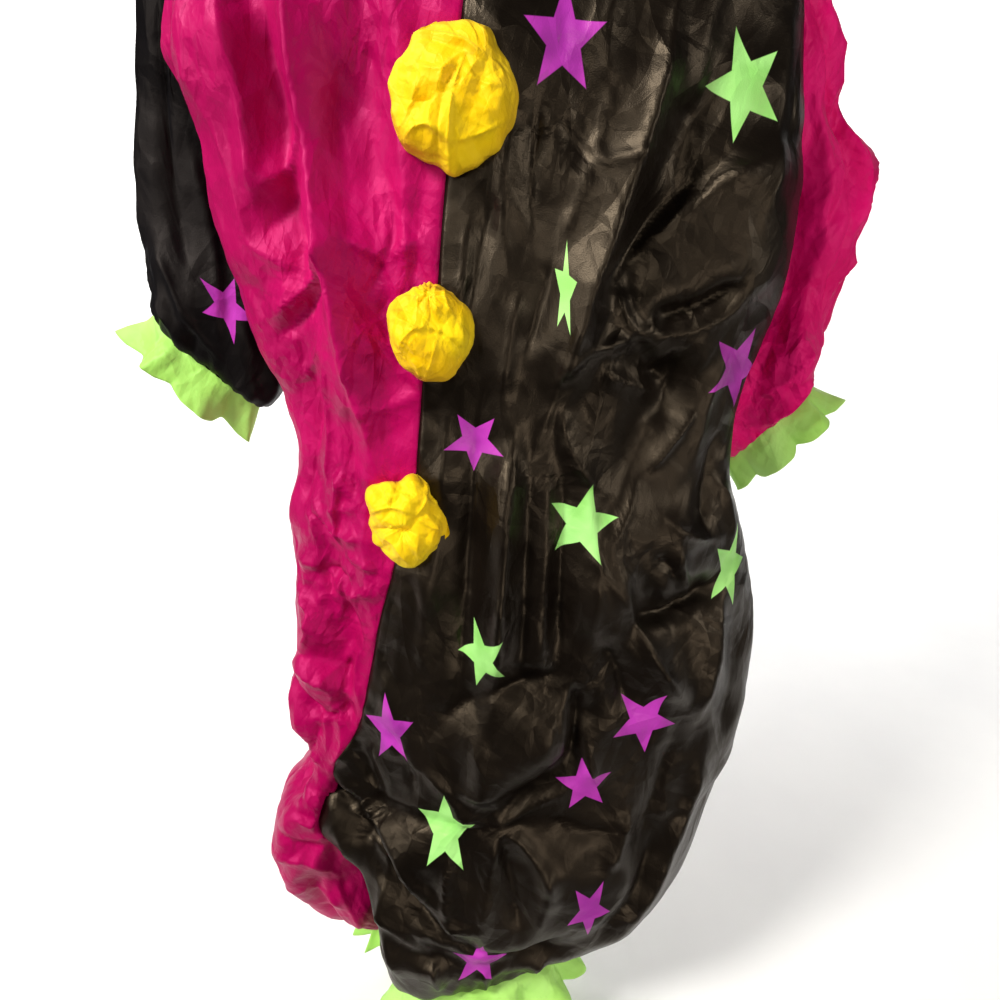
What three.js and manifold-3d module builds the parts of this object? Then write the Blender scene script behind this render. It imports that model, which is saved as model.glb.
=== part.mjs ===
// Inflatable clown costume, let down and hanging: a one-piece suit of thin proofed nylon, magenta on
// the wearer's right and black with stars on the left, with the sleeves in the other colour.
//
// Millimetres, +Z up. The front faces -Y and the wearer's right hand is at -X. The origin is the
// middle of the neck opening, where the suit is held up.
//
// Each half of the body is one front and one back panel, cut from shoulder to ankle in one piece.
// A table row is a level section: the panel runs along it from the inner seam (centre front, centre
// back or inside leg) to the side seam. Folds are laid over the sections from tables of their own.

import * as THREE from "three";
import { mergeVertices } from "three/addons/utils/BufferGeometryUtils.js";
import Module from "manifold-3d";

const wasm = await Module();
wasm.setup();

// ---------------------------------------------------------------------------------------------
// Driving dimensions
// ---------------------------------------------------------------------------------------------

const CLOTH = 1.5; // wall of the cloth
const SEAM = 0.3; // between sewn pieces
const CROTCH_SEAM = 0.8; // and where four seams meet and turn under the crotch
const LEG_CLEAR = 10; // the right leg hangs behind the left one, this far from it
const LEG_PART = 0.35; // and they part by this share of the height below the crotch
const SLEEVE_CLEAR = 7; // between a hanging sleeve and the body's back
const HEM_LAP = 1.2; // a frill's top edge lies this far outside the opening it is sewn to
const LEG_JOIN = -1100; // a body panel is two solids, which meet at this level

const NECKBAND_HEIGHT = 24;
const NECKBAND_WALL = 3; // elastic in a casing
const ANKLE_FRILL = { length: 56, flare: 20, wave: 9, flutes: 11 };
const WRIST_FRILL = { length: 50, flare: 15, wave: 8, flutes: 7 };

// How many strips each panel has across.
const COLUMNS = { rightFront: 9, leftFront: 12, rightBack: 6, leftBack: 7, sleeve: 13 };

// The trunk, from the neck edge down to the start of the crotch curve. frontX and backX are the
// centre seams, right and left the side seams, front and back how deep the section is.
const TRUNK = [
  { level: 0, frontX: 0, backX: 0, right: -88, left: 88, front: 78, back: 70 },
  { level: -10, frontX: -1, backX: 0, right: -91, left: 91, front: 81, back: 73 },
  { level: -22, frontX: -3, backX: 0, right: -140, left: 138, front: 94, back: 82 },
  { level: -45, frontX: -7, backX: -1, right: -212, left: 206, front: 106, back: 91 },
  { level: -85, frontX: -12, backX: -3, right: -272, left: 262, front: 114, back: 96 },
  { level: -130, frontX: -19, backX: -5, right: -306, left: 288, front: 119, back: 98 },
  { level: -174, frontX: -26, backX: -8, right: -328, left: 303, front: 122, back: 98 },
  { level: -220, frontX: -33, backX: -12, right: -346, left: 309, front: 123, back: 97 },
  { level: -258, frontX: -38, backX: -15, right: -334, left: 312, front: 122, back: 96 },
  { level: -305, frontX: -45, backX: -18, right: -320, left: 316, front: 120, back: 95 },
  { level: -375, frontX: -54, backX: -24, right: -316, left: 317, front: 117, back: 92 },
  { level: -467, frontX: -63, backX: -33, right: -292, left: 307, front: 115, back: 89 },
  { level: -520, frontX: -74, backX: -39, right: -275, left: 292, front: 114, back: 88 },
  { level: -570, frontX: -83, backX: -45, right: -255, left: 279, front: 113, back: 87 },
  { level: -660, frontX: -93, backX: -58, right: -247, left: 273, front: 114, back: 88 },
  { level: -708, frontX: -107, backX: -67, right: -262, left: 287, front: 116, back: 91 },
  { level: -765, frontX: -123, backX: -80, right: -260, left: 304, front: 119, back: 95 },
  { level: -828, frontX: -141, backX: -97, right: -248, left: 322, front: 122, back: 98 },
  { level: -895, frontX: -157, backX: -118, right: -250, left: 329, front: 124, back: 100 },
  { level: -955, frontX: -173, backX: -140, right: -276, left: 327, front: 125, back: 100 },
  { level: -1000, frontX: -191, backX: -162, right: -272, left: 325, front: 125, back: 100 },
  { level: -1035, frontX: -208, backX: -184, right: -264, left: 322, front: 123, back: 99 },
];

// The crotch curve, where the centre seams turn in under the body and meet. wrapRight and wrapLeft
// are the angles that the two halves' sections turn through, on the way to 180 round a leg.
const CROTCH = [
  { level: -1060, frontX: -213, frontY: -63, backX: -200, backY: 46, wrapRight: 62, wrapLeft: 150 },
  { level: -1080, frontX: -217, frontY: -52, backX: -212, backY: 14, wrapRight: 105, wrapLeft: 160 },
  { level: -1095, frontX: -220, frontY: -30, backX: -220, backY: -30, wrapRight: 145, wrapLeft: 170 },
];
const CROTCH_SIDES = [
  { right: -258, left: 320, rightFront: 98, rightBack: 88, leftFront: 122, leftBack: 100 },
  { right: -266, left: 314, rightFront: 84, rightBack: 80, leftFront: 120, leftBack: 103 },
  { right: -276, left: 308, rightFront: 74, rightBack: 76, leftFront: 122, leftBack: 108 },
];

// The legs, down to the elastic. drop lowers the inner side of a section below its outer side.
const RIGHT_LEG = [
  { level: -1106, innerX: -220, innerY: -4, outerX: -286, outerY: 0, front: 66, back: 74, drop: 0 },
  { level: -1120, innerX: -214, innerY: 10, outerX: -296, outerY: 0, front: 66, back: 74, drop: 0 },
  { level: -1142, innerX: -206, innerY: 20, outerX: -304, outerY: 0, front: 70, back: 74, drop: 0 },
  { level: -1175, innerX: -190, innerY: 28, outerX: -311, outerY: 0, front: 74, back: 74, drop: 0 },
  { level: -1215, innerX: -172, innerY: 36, outerX: -316, outerY: 2, front: 78, back: 76, drop: 0 },
  { level: -1265, innerX: -152, innerY: 44, outerX: -303, outerY: 6, front: 76, back: 78, drop: 2 },
  { level: -1318, innerX: -132, innerY: 54, outerX: -279, outerY: 10, front: 70, back: 78, drop: 4 },
  { level: -1362, innerX: -116, innerY: 62, outerX: -250, outerY: 20, front: 58, back: 68, drop: 4 },
  { level: -1390, innerX: -106, innerY: 66, outerX: -226, outerY: 36, front: 46, back: 56, drop: 2 },
  { level: -1391, innerX: -114, innerY: 66, outerX: -204, outerY: 50, front: 38, back: 42, drop: 1 },
];
const LEFT_LEG = [
  { level: -1106, innerX: -224, innerY: -38, outerX: 304, outerY: -2, front: 116, back: 107, drop: 0 },
  { level: -1120, innerX: -230, innerY: -47, outerX: 299, outerY: -4, front: 116, back: 106, drop: 0 },
  { level: -1142, innerX: -232, innerY: -56, outerX: 291, outerY: -6, front: 117, back: 106, drop: 0 },
  { level: -1175, innerX: -206, innerY: -62, outerX: 280, outerY: -8, front: 121, back: 104, drop: 0 },
  { level: -1218, innerX: -182, innerY: -66, outerX: 262, outerY: -10, front: 125, back: 101, drop: 0 },
  { level: -1270, innerX: -172, innerY: -70, outerX: 230, outerY: -14, front: 125, back: 98, drop: 6 },
  { level: -1315, innerX: -168, innerY: -74, outerX: 184, outerY: -20, front: 118, back: 93, drop: 18 },
  { level: -1346, innerX: -161, innerY: -76, outerX: 136, outerY: -28, front: 102, back: 82, drop: 32 },
  { level: -1362, innerX: -149, innerY: -74, outerX: 104, outerY: -34, front: 84, back: 66, drop: 38 },
  { level: -1363, innerX: -134, innerY: -66, outerX: 82, outerY: -40, front: 66, back: 48, drop: 38 },
];

// The sleeves: rings across the arm's line. wide and deep are half sizes, and lean turns the ring's
// lower end outwards, in degrees. The first rows are inside the shoulder, where the armhole is cut.
const RIGHT_SLEEVE = [
  { x: -168, y: 4, z: -112, wide: 72, deep: 66, lean: 60 },
  { x: -232, y: 14, z: -128, wide: 82, deep: 72, lean: 54 },
  { x: -288, y: 42, z: -172, wide: 90, deep: 74, lean: 40 },
  { x: -322, y: 78, z: -240, wide: 92, deep: 70, lean: 18 },
  { x: -334, y: 92, z: -310, wide: 94, deep: 68, lean: 6 },
  { x: -338, y: 94, z: -375, wide: 96, deep: 68, lean: 4 },
  { x: -340, y: 92, z: -435, wide: 98, deep: 68, lean: 12 },
  { x: -346, y: 88, z: -488, wide: 99, deep: 66, lean: 28 },
  { x: -358, y: 84, z: -524, wide: 96, deep: 58, lean: 40 },
  { x: -368, y: 82, z: -540, wide: 90, deep: 48, lean: 43 },
  { x: -368, y: 82, z: -540, wide: 80, deep: 40, lean: 43 },
];
const LEFT_SLEEVE = [
  { x: 160, y: 4, z: -112, wide: 72, deep: 66, lean: 60 },
  { x: 214, y: 14, z: -132, wide: 80, deep: 72, lean: 54 },
  { x: 262, y: 42, z: -186, wide: 82, deep: 72, lean: 36 },
  { x: 304, y: 78, z: -258, wide: 89, deep: 70, lean: 14 },
  { x: 332, y: 92, z: -325, wide: 98, deep: 68, lean: 4 },
  { x: 338, y: 94, z: -400, wide: 98, deep: 68, lean: 4 },
  { x: 334, y: 92, z: -475, wide: 97, deep: 66, lean: 8 },
  { x: 332, y: 88, z: -545, wide: 98, deep: 64, lean: 20 },
  { x: 332, y: 84, z: -592, wide: 86, deep: 56, lean: 36 },
  { x: 344, y: 82, z: -618, wide: 78, deep: 46, lean: 45 },
  { x: 344, y: 82, z: -618, wide: 68, deep: 38, lean: 45 },
];
const ARMHOLE_ROWS = 4; // rows of a sleeve's table that the armhole is cut with

// The largest folds. Each runs from one point by a middle one to its end, as seen from the front,
// with its half width, and its depth: out of the cloth as a ridge, or in as a negative trough.
const FRONT_FOLDS = [
  // right front, magenta
  { fromX: -189, fromZ: -150, viaX: -167, viaZ: -400, toX: -145, toZ: -640, width: 24, depth: 16 },
  { fromX: -222, fromZ: -150, viaX: -212, viaZ: -330, toX: -190, toZ: -470, width: 20, depth: -17 },
  { fromX: -256, fromZ: -150, viaX: -246, viaZ: -300, toX: -244, toZ: -380, width: 22, depth: 13 },
  { fromX: -132, fromZ: -150, viaX: -115, viaZ: -400, toX: -122, toZ: -660, width: 26, depth: -12 },
  { fromX: -214, fromZ: -500, viaX: -212, viaZ: -600, toX: -222, toZ: -700, width: 20, depth: -13 },
  { fromX: -232, fromZ: -740, viaX: -216, viaZ: -850, toX: -238, toZ: -975, width: 20, depth: 11 },
  { fromX: -196, fromZ: -700, viaX: -186, viaZ: -860, toX: -208, toZ: -1000, width: 18, depth: -11 },
  { fromX: -285, fromZ: -1092, viaX: -252, viaZ: -1098, toX: -222, toZ: -1085, width: 18, depth: -16 },
  { fromX: -284, fromZ: -1130, viaX: -292, viaZ: -1220, toX: -262, toZ: -1350, width: 16, depth: 9 },
  { fromX: -258, fromZ: -1130, viaX: -262, viaZ: -1230, toX: -238, toZ: -1340, width: 12, depth: -10 },
  // left front, black
  { fromX: 160, fromZ: -215, viaX: 104, viaZ: -405, toX: 42, toZ: -570, width: 32, depth: 20 },
  { fromX: 208, fromZ: -235, viaX: 148, viaZ: -372, toX: 98, toZ: -510, width: 28, depth: -20 },
  { fromX: 268, fromZ: -290, viaX: 236, viaZ: -410, toX: 200, toZ: -500, width: 38, depth: 12 },
  { fromX: 150, fromZ: -486, viaX: 192, viaZ: -480, toX: 240, toZ: -448, width: 18, depth: -12 },
  { fromX: 126, fromZ: -500, viaX: 160, viaZ: -575, toX: 138, toZ: -690, width: 26, depth: -14 },
  { fromX: 20, fromZ: -585, viaX: 2, viaZ: -740, toX: -8, toZ: -910, width: 20, depth: 12 },
  { fromX: -28, fromZ: -620, viaX: -34, viaZ: -760, toX: -44, toZ: -900, width: 20, depth: -10 },
  { fromX: 56, fromZ: -600, viaX: 54, viaZ: -740, toX: 60, toZ: -900, width: 22, depth: -11 },
  { fromX: 98, fromZ: -745, viaX: 152, viaZ: -850, toX: 232, toZ: -940, width: 20, depth: 13 },
  { fromX: 144, fromZ: -802, viaX: 204, viaZ: -812, toX: 268, toZ: -782, width: 18, depth: -15 },
  { fromX: -50, fromZ: -955, viaX: 15, viaZ: -975, toX: 78, toZ: -950, width: 46, depth: 15 },
  { fromX: 108, fromZ: -900, viaX: 84, viaZ: -990, toX: 0, toZ: -1065, width: 22, depth: -18 },
  { fromX: 60, fromZ: -1120, viaX: 120, viaZ: -1170, toX: 190, toZ: -1190, width: 50, depth: 13 },
  { fromX: -205, fromZ: -1110, viaX: -150, viaZ: -1180, toX: -80, toZ: -1240, width: 18, depth: -12 },
  { fromX: -130, fromZ: -1270, viaX: -20, viaZ: -1325, toX: 130, toZ: -1270, width: 22, depth: -16 },
];
const BACK_FOLDS = [
  { fromX: -235, fromZ: -290, viaX: -190, viaZ: -480, toX: -160, toZ: -760, width: 28, depth: 11 },
  { fromX: -150, fromZ: -150, viaX: -120, viaZ: -420, toX: -112, toZ: -700, width: 26, depth: -11 },
  { fromX: -212, fromZ: -700, viaX: -196, viaZ: -860, toX: -226, toZ: -1010, width: 20, depth: -10 },
  { fromX: 60, fromZ: -160, viaX: 34, viaZ: -420, toX: 18, toZ: -700, width: 30, depth: 12 },
  { fromX: 130, fromZ: -250, viaX: 118, viaZ: -480, toX: 142, toZ: -760, width: 30, depth: -13 },
  { fromX: 205, fromZ: -330, viaX: 196, viaZ: -560, toX: 236, toZ: -800, width: 26, depth: 9 },
  { fromX: -20, fromZ: -760, viaX: 60, viaZ: -880, toX: 190, toZ: -940, width: 34, depth: -13 },
  { fromX: 0, fromZ: -1060, viaX: 90, viaZ: -1130, toX: 190, toZ: -1150, width: 44, depth: 12 },
];

// The pompons, on the centre-front seam: crumpled puffs gathered at the middle of the back.
const POMPONS = [
  { name: "pompon_top", x: -42, z: -290, wide: 56, high: 60, thick: 34, lobes: 9, turn: 0.4 },
  { name: "pompon_middle", x: -68, z: -494, wide: 42, high: 48, thick: 32, lobes: 8, turn: 1.1 },
  { name: "pompon_bottom", x: -104, z: -694, wide: 44, high: 50, thick: 32, lobes: 7, turn: 2.3 },
];
const POMPON_RINGS = 8;
const POMPON_AROUND = 18;

// The finishes.
const FINISH = {
  magenta: { color: 0xb3064f, roughness: 0.38, metalness: 0 },
  black: { color: 0x17130f, roughness: 0.36, metalness: 0 },
  green: { color: 0xa9db58, roughness: 0.5, metalness: 0 },
  yellow: { color: 0xf7da12, roughness: 0.45, metalness: 0 },
};

// ---------------------------------------------------------------------------------------------
// Small helpers
// ---------------------------------------------------------------------------------------------

const vec = (x, y, z) => new THREE.Vector3(x, y, z);
const radians = THREE.MathUtils.degToRad;
const clamp = THREE.MathUtils.clamp;
const smooth = THREE.MathUtils.smoothstep;

/** A table's columns at a fractional row, on a smooth curve through the rows. */
function rowAt(rows, at) {
  const last = rows.length - 1;
  const start = clamp(Math.floor(at), 0, last - 1);
  const t = at - start;
  const near = [-1, 0, 1, 2].map((step) => rows[clamp(start + step, 0, last)]);
  const out = {};
  for (const column of Object.keys(rows[0])) {
    const [a, b, c, d] = near.map((row) => row[column]);
    const slopeB = (c - a) / 2;
    const slopeC = (d - b) / 2;
    const bend = 2 * (b - c) + slopeB + slopeC;
    const rise = 3 * (c - b) - 2 * slopeB - slopeC;
    out[column] = ((bend * t + rise) * t + slopeB) * t + b;
  }
  return out;
}

/** The fractional row of a table whose levels fall, at one level. */
function rowOfLevel(rows, level) {
  for (let i = 0; i < rows.length - 1; i += 1) {
    const [above, below] = [rows[i].level, rows[i + 1].level];
    if (level <= above && level > below) return i + (above - level) / (above - below);
  }
  return level > rows[0].level ? 0 : rows.length - 1;
}

// ---------------------------------------------------------------------------------------------
// The body's sections
// ---------------------------------------------------------------------------------------------

/** The angle at which a centre seam lies on the trunk's oval, seen from one half's side seam. */
function seamAngle(row, seamX, sideX) {
  const centre = (row.left + row.right) / 2;
  const reach = sideX - centre;
  return Math.acos((seamX - centre) / reach);
}

/** One half's sections from neck to ankle, in columns that every part of it shares. */
function halfRows(side) {
  const left = side > 0;
  const trunk = TRUNK.map((row) => {
    const sideX = left ? row.left : row.right;
    const frontWrap = seamAngle(row, row.frontX, sideX);
    const backWrap = seamAngle(row, row.backX, sideX);
    return {
      level: row.level,
      frontX: row.frontX,
      frontY: -row.front * Math.sin(frontWrap),
      backX: row.backX,
      backY: row.back * Math.sin(backWrap),
      sideX,
      sideY: 0,
      front: row.front,
      back: row.back,
      frontWrap,
      backWrap,
      drop: 0,
    };
  });
  const crotch = CROTCH.map((row, i) => {
    const sides = CROTCH_SIDES[i];
    const wrap = radians(left ? row.wrapLeft : row.wrapRight);
    return {
      level: row.level,
      frontX: row.frontX,
      frontY: row.frontY,
      backX: row.backX,
      backY: row.backY,
      sideX: left ? sides.left : sides.right,
      sideY: 0,
      front: left ? sides.leftFront : sides.rightFront,
      back: left ? sides.leftBack : sides.rightBack,
      frontWrap: wrap,
      backWrap: wrap,
      drop: 0,
    };
  });
  const leg = (left ? LEFT_LEG : RIGHT_LEG).map((row) => ({
    level: row.level,
    frontX: row.innerX,
    frontY: row.innerY,
    backX: row.innerX,
    backY: row.innerY,
    sideX: row.outerX,
    sideY: row.outerY,
    front: row.front,
    back: row.back,
    frontWrap: Math.PI,
    backWrap: Math.PI,
    drop: row.drop,
  }));
  return [...trunk, ...crotch, ...leg];
}

const ROWS = { right: halfRows(-1), left: halfRows(1) };
const SHARED_ROWS = TRUNK.length + CROTCH.length; // rows on which the two halves are sewn together

/**
 * A section's point, from the inner seam (across = 0) to the side seam (across = 1). The section is
 * an arc of an ellipse, eased at its inner end so that it meets the seam.
 */
function sectionPoint(row, isFront, across) {
  const wrap = isFront ? row.frontWrap : row.backWrap;
  const turn = wrap * (1 - across);
  const innerX = isFront ? row.frontX : row.backX;
  const innerY = isFront ? row.frontY : row.backY;
  const depth = isFront ? -row.front : row.back;
  const reach = (row.sideX - innerX) / (1 - Math.cos(wrap));
  const ease = (innerY - row.sideY - depth * Math.sin(wrap)) * (1 - across) ** 2;
  return vec(
    row.sideX - reach * (1 - Math.cos(turn)),
    row.sideY + depth * Math.sin(turn) + ease,
    row.level - row.drop * (1 - across),
  );
}

/** How far a fold moves the cloth at one place, seen from the front. */
function foldDepth(fold, x, z) {
  const points = [
    [fold.fromX, fold.fromZ],
    [fold.viaX, fold.viaZ],
    [fold.toX, fold.toZ],
  ];
  let nearest = Infinity;
  let along = 0;
  for (let i = 0; i < 2; i += 1) {
    const [ax, az] = points[i];
    const [dx, dz] = [points[i + 1][0] - ax, points[i + 1][1] - az];
    const t = clamp(((x - ax) * dx + (z - az) * dz) / (dx * dx + dz * dz), 0, 1);
    const distance = Math.hypot(x - ax - t * dx, z - az - t * dz);
    if (distance < nearest) {
      nearest = distance;
      along = (i + t) / 2;
    }
  }
  const ends = smooth(along, 0, 0.25) * smooth(1 - along, 0, 0.25);
  return fold.depth * (0.25 + 0.75 * ends) * Math.exp(-((nearest / fold.width) ** 2));
}

/** The furthest back that the left leg reaches at a place, and a steep slope beside it. */
function behindLeftLeg(x, level) {
  const row = rowAt(ROWS.left, rowOfLevel(ROWS.left, level));
  const half = (row.sideX - row.frontX) / 2;
  const across = (x - row.frontX - half) / half;
  if (across < -1) return row.frontY - (-1 - across) * half * 4;
  const turn = Math.acos(clamp(across, -1, 1));
  const ease = (row.frontY - row.sideY) * (turn / Math.PI) ** 2;
  return row.sideY + row.back * Math.sin(turn) + ease;
}

// ---------------------------------------------------------------------------------------------
// Grids of points, and the walls made from them
// ---------------------------------------------------------------------------------------------

/** The outward normals of a grid, by its neighbours; loops says that each row closes on itself. */
function gridNormals(grid, outward, loops = false) {
  const lastRow = grid.length - 1;
  return grid.map((row, i) =>
    row.map((_, j) => {
      const count = row.length;
      const before = loops ? (j + count - 1) % count : Math.max(j - 1, 0);
      const after = loops ? (j + 1) % count : Math.min(j + 1, count - 1);
      const across = row[after].clone().sub(row[before]);
      const down = grid[Math.min(i + 1, lastRow)][j].clone().sub(grid[Math.max(i - 1, 0)][j]);
      return across.cross(down).multiplyScalar(outward).normalize();
    }),
  );
}

/** Gives two sewn edges the same normals. */
function shareNormals(a, columnA, b, columnB, rows) {
  for (let i = 0; i < rows; i += 1) {
    const shared = a[i][columnA].clone().add(b[i][columnB]).normalize();
    a[i][columnA] = shared;
    b[i][columnB] = shared.clone();
  }
}

/** A BufferGeometry from points and triangles, turned so that its faces point outwards. */
function solidGeometry(points, triangles) {
  let volume = 0;
  for (const [a, b, c] of triangles) {
    volume += points[a].dot(points[b].clone().cross(points[c]));
  }
  const turned = volume < 0 ? triangles.map(([a, b, c]) => [a, c, b]) : triangles;
  const geometry = new THREE.BufferGeometry();
  geometry.setAttribute(
    "position",
    new THREE.Float32BufferAttribute(points.flatMap((p) => [p.x, p.y, p.z]), 3),
  );
  geometry.setIndex(turned.flat());
  return geometry;
}

/** Two triangles over a quad, split from its first corner to its third. */
const halves = (a, b, c, d) => [[a, b, c], [a, c, d]];

/** Two triangles over a quad, split along its shorter diagonal. */
function quad(points, a, b, c, d) {
  const cutAC = points[a].distanceToSquared(points[c]) <= points[b].distanceToSquared(points[d]);
  return cutAC ? halves(a, b, c, d) : halves(b, c, d, a);
}

/** A cloth wall: a grid of outer points, the same grid moved in by the wall, and the rims. */
function wall(grid, normals, thickness = CLOTH, loops = false) {
  const rows = grid.length;
  const columns = grid[0].length;
  const points = [];
  for (const inset of [0, thickness]) {
    grid.forEach((row, i) =>
      row.forEach((p, j) => points.push(p.clone().addScaledVector(normals[i][j], -inset))),
    );
  }
  const layer = rows * columns;
  const at = (depth, i, j) => depth * layer + i * columns + (j % columns);
  const triangles = [];
  const strips = loops ? columns : columns - 1;
  for (let i = 0; i < rows - 1; i += 1) {
    for (let j = 0; j < strips; j += 1) {
      const outer = quad(points, at(0, i, j), at(0, i, j + 1), at(0, i + 1, j + 1), at(0, i + 1, j));
      triangles.push(...outer);
      triangles.push(...outer.map((face) => face.map((k) => k + layer).reverse()));
    }
  }
  for (let j = 0; j < strips; j += 1) {
    triangles.push(...quad(points, at(1, 0, j), at(1, 0, j + 1), at(0, 0, j + 1), at(0, 0, j)));
    const end = rows - 1;
    triangles.push(...quad(points, at(0, end, j), at(0, end, j + 1), at(1, end, j + 1), at(1, end, j)));
  }
  if (!loops) {
    // All split the same way, so that the rims on the two sides of a seam stay apart.
    const end = columns - 1;
    for (let i = 0; i < rows - 1; i += 1) {
      triangles.push(...halves(at(0, i, 0), at(0, i + 1, 0), at(1, i + 1, 0), at(1, i, 0)));
      triangles.push(...halves(at(0, i, end), at(1, i, end), at(1, i + 1, end), at(0, i + 1, end)));
    }
  }
  return solidGeometry(points, triangles);
}

/** A filled form between closed rings, used only to cut others with. */
function filled(rings) {
  const columns = rings[0].length;
  const points = rings.flat();
  const triangles = [];
  for (let i = 0; i < rings.length - 1; i += 1) {
    for (let j = 0; j < columns; j += 1) {
      const [a, b] = [i * columns + j, i * columns + ((j + 1) % columns)];
      triangles.push(...quad(points, a, b, b + columns, a + columns));
    }
  }
  for (const [ring, flip] of [[0, true], [rings.length - 1, false]]) {
    const middle = points.length;
    const centre = vec(0, 0, 0);
    rings[ring].forEach((p) => centre.addScaledVector(p, 1 / columns));
    points.push(centre);
    for (let j = 0; j < columns; j += 1) {
      const [a, b] = [ring * columns + j, ring * columns + ((j + 1) % columns)];
      triangles.push(flip ? [middle, b, a] : [middle, a, b]);
    }
  }
  return solidGeometry(points, triangles);
}

/** A geometry as a solid that can be joined and cut. */
function toSolid(geometry) {
  const merged = mergeVertices(geometry, 1e-4);
  return new wasm.Manifold(
    new wasm.Mesh({
      numProp: 3,
      vertProperties: new Float32Array(merged.attributes.position.array),
      triVerts: new Uint32Array(merged.index.array),
    }),
  );
}

/** A solid's largest body as a BufferGeometry. */
function toGeometry(solid) {
  const bodies = solid.decompose().sort((a, b) => b.volume() - a.volume());
  const mesh = bodies[0].getMesh();
  const geometry = new THREE.BufferGeometry();
  geometry.setAttribute("position", new THREE.Float32BufferAttribute(mesh.vertProperties, 3));
  geometry.setIndex(Array.from(mesh.triVerts));
  return geometry;
}

// ---------------------------------------------------------------------------------------------
// The body's four panels
// ---------------------------------------------------------------------------------------------

const PANELS = [
  { name: "front_magenta", half: "right", isFront: true, columns: COLUMNS.rightFront, outward: -1 },
  { name: "front_black", half: "left", isFront: true, columns: COLUMNS.leftFront, outward: 1 },
  { name: "back_magenta", half: "right", isFront: false, columns: COLUMNS.rightBack, outward: 1 },
  { name: "back_black", half: "left", isFront: false, columns: COLUMNS.leftBack, outward: -1 },
];

function sewnNormals(panels) {
  for (const panel of panels) panel.normals = gridNormals(panel.grid, -panel.outward);
  const [rightFront, leftFront, rightBack, leftBack] = panels;
  for (const [front, back] of [[rightFront, rightBack], [leftFront, leftBack]]) {
    shareNormals(front.normals, front.columns, back.normals, back.columns, front.grid.length);
    for (let i = SHARED_ROWS; i < front.grid.length; i += 1) {
      const inside = front.normals[i][0].clone().add(back.normals[i][0]).normalize();
      front.normals[i][0] = inside;
      back.normals[i][0] = inside.clone();
    }
  }
  shareNormals(rightFront.normals, 0, leftFront.normals, 0, SHARED_ROWS);
  shareNormals(rightBack.normals, 0, leftBack.normals, 0, SHARED_ROWS);
  for (const panel of panels) {
    // Under the crotch the seams turn too sharply for a mean of the faces round the point.
    const away = panel.half === "right" ? vec(1, 0, 0.4) : vec(-1, 0, -1);
    panel.normals[SHARED_ROWS - 1][0] = away.normalize();
  }
}

/** The four panels' grids: the sections, then the folds along their normals. */
function buildBody() {
  const panels = PANELS.map((panel) => ({
    ...panel,
    grid: ROWS[panel.half].map((row) =>
      Array.from({ length: panel.columns + 1 }, (_, j) =>
        sectionPoint(row, panel.isFront, j / panel.columns),
      ),
    ),
  }));
  sewnNormals(panels);
  for (const panel of panels) {
    const folds = panel.isFront ? FRONT_FOLDS : BACK_FOLDS;
    panel.grid.forEach((row, i) =>
      row.forEach((p, j) => {
        const across = j / panel.columns;
        const sewn = smooth(1 - across, 0, 0.3) * (i < SHARED_ROWS ? 1 : smooth(across, 0, 0.2));
        const moved = folds.reduce((sum, fold) => sum + foldDepth(fold, p.x, p.z), 0);
        p.addScaledVector(panel.normals[i][j], moved * sewn);
      }),
    );
  }
  for (const panel of panels.filter((one) => one.half === "right")) {
    for (const row of panel.grid.slice(SHARED_ROWS)) {
      for (const p of row) {
        const clear = Math.min(LEG_CLEAR, 2 + LEG_PART * (CROTCH.at(-1).level - p.z));
        p.y = Math.max(p.y, behindLeftLeg(p.x, p.z) + clear);
      }
    }
  }
  sewnNormals(panels);
  return panels;
}

/** Moves a panel's sewn edges half a seam's gap into the panel. */
function openSeams(panel) {
  const last = panel.columns;
  return panel.grid.map((row, i) => {
    const moved = row.map((p) => p.clone());
    const inner = Math.abs(i - SHARED_ROWS + 0.5) < 1.6 ? CROTCH_SEAM : SEAM;
    for (const [edge, next, gap] of [[0, 1, inner], [last, last - 1, SEAM]]) {
      const inward = row[next].clone().sub(row[edge]).normalize();
      moved[edge].addScaledVector(inward, gap / 2);
    }
    return moved;
  });
}

const body = buildBody();
const [rightFront, leftFront, rightBack, leftBack] = body;

/** A closed loop of the body's points on one row: right side, front, left side, back. */
function bodyLoop(i) {
  const pick = (panel) => panel.grid[i].map((p, j) => ({ point: p, normal: panel.normals[i][j] }));
  return [
    ...pick(rightFront).reverse(),
    ...pick(leftFront).slice(1),
    ...pick(leftBack).reverse().slice(1),
    ...pick(rightBack).slice(1, -1),
  ];
}

/** The trunk filled and moved out by a gap, to cut what is sewn on it. */
function trunkSolid(gap) {
  const rings = TRUNK.map((_, i) =>
    bodyLoop(i).map(({ point, normal }) => point.clone().addScaledVector(normal, gap)),
  );
  return toSolid(filled(rings));
}

// ---------------------------------------------------------------------------------------------
// Sleeves
// ---------------------------------------------------------------------------------------------

/** A sleeve's ring point. turn goes round from the ring's outer upper end towards the front. */
function ringPoint(row, side, turn, inset = 0) {
  const lean = radians(row.lean);
  const across = (row.wide - inset) * Math.cos(turn);
  return vec(
    row.x + side * across * Math.cos(lean),
    row.y - (row.deep - inset) * Math.sin(turn),
    row.z + across * Math.sin(lean),
  );
}

/** The body's back at a place beside the arm, with a steep slope past its side. */
function behindBody(x, level) {
  const row = rowAt(TRUNK, rowOfLevel(TRUNK, level));
  const centre = (row.left + row.right) / 2;
  const across = Math.abs(x - centre) / (row.left - centre);
  if (across > 1) return -(across - 1) * (row.left - centre) * 3;
  return row.back * Math.sqrt(1 - across ** 2);
}

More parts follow.
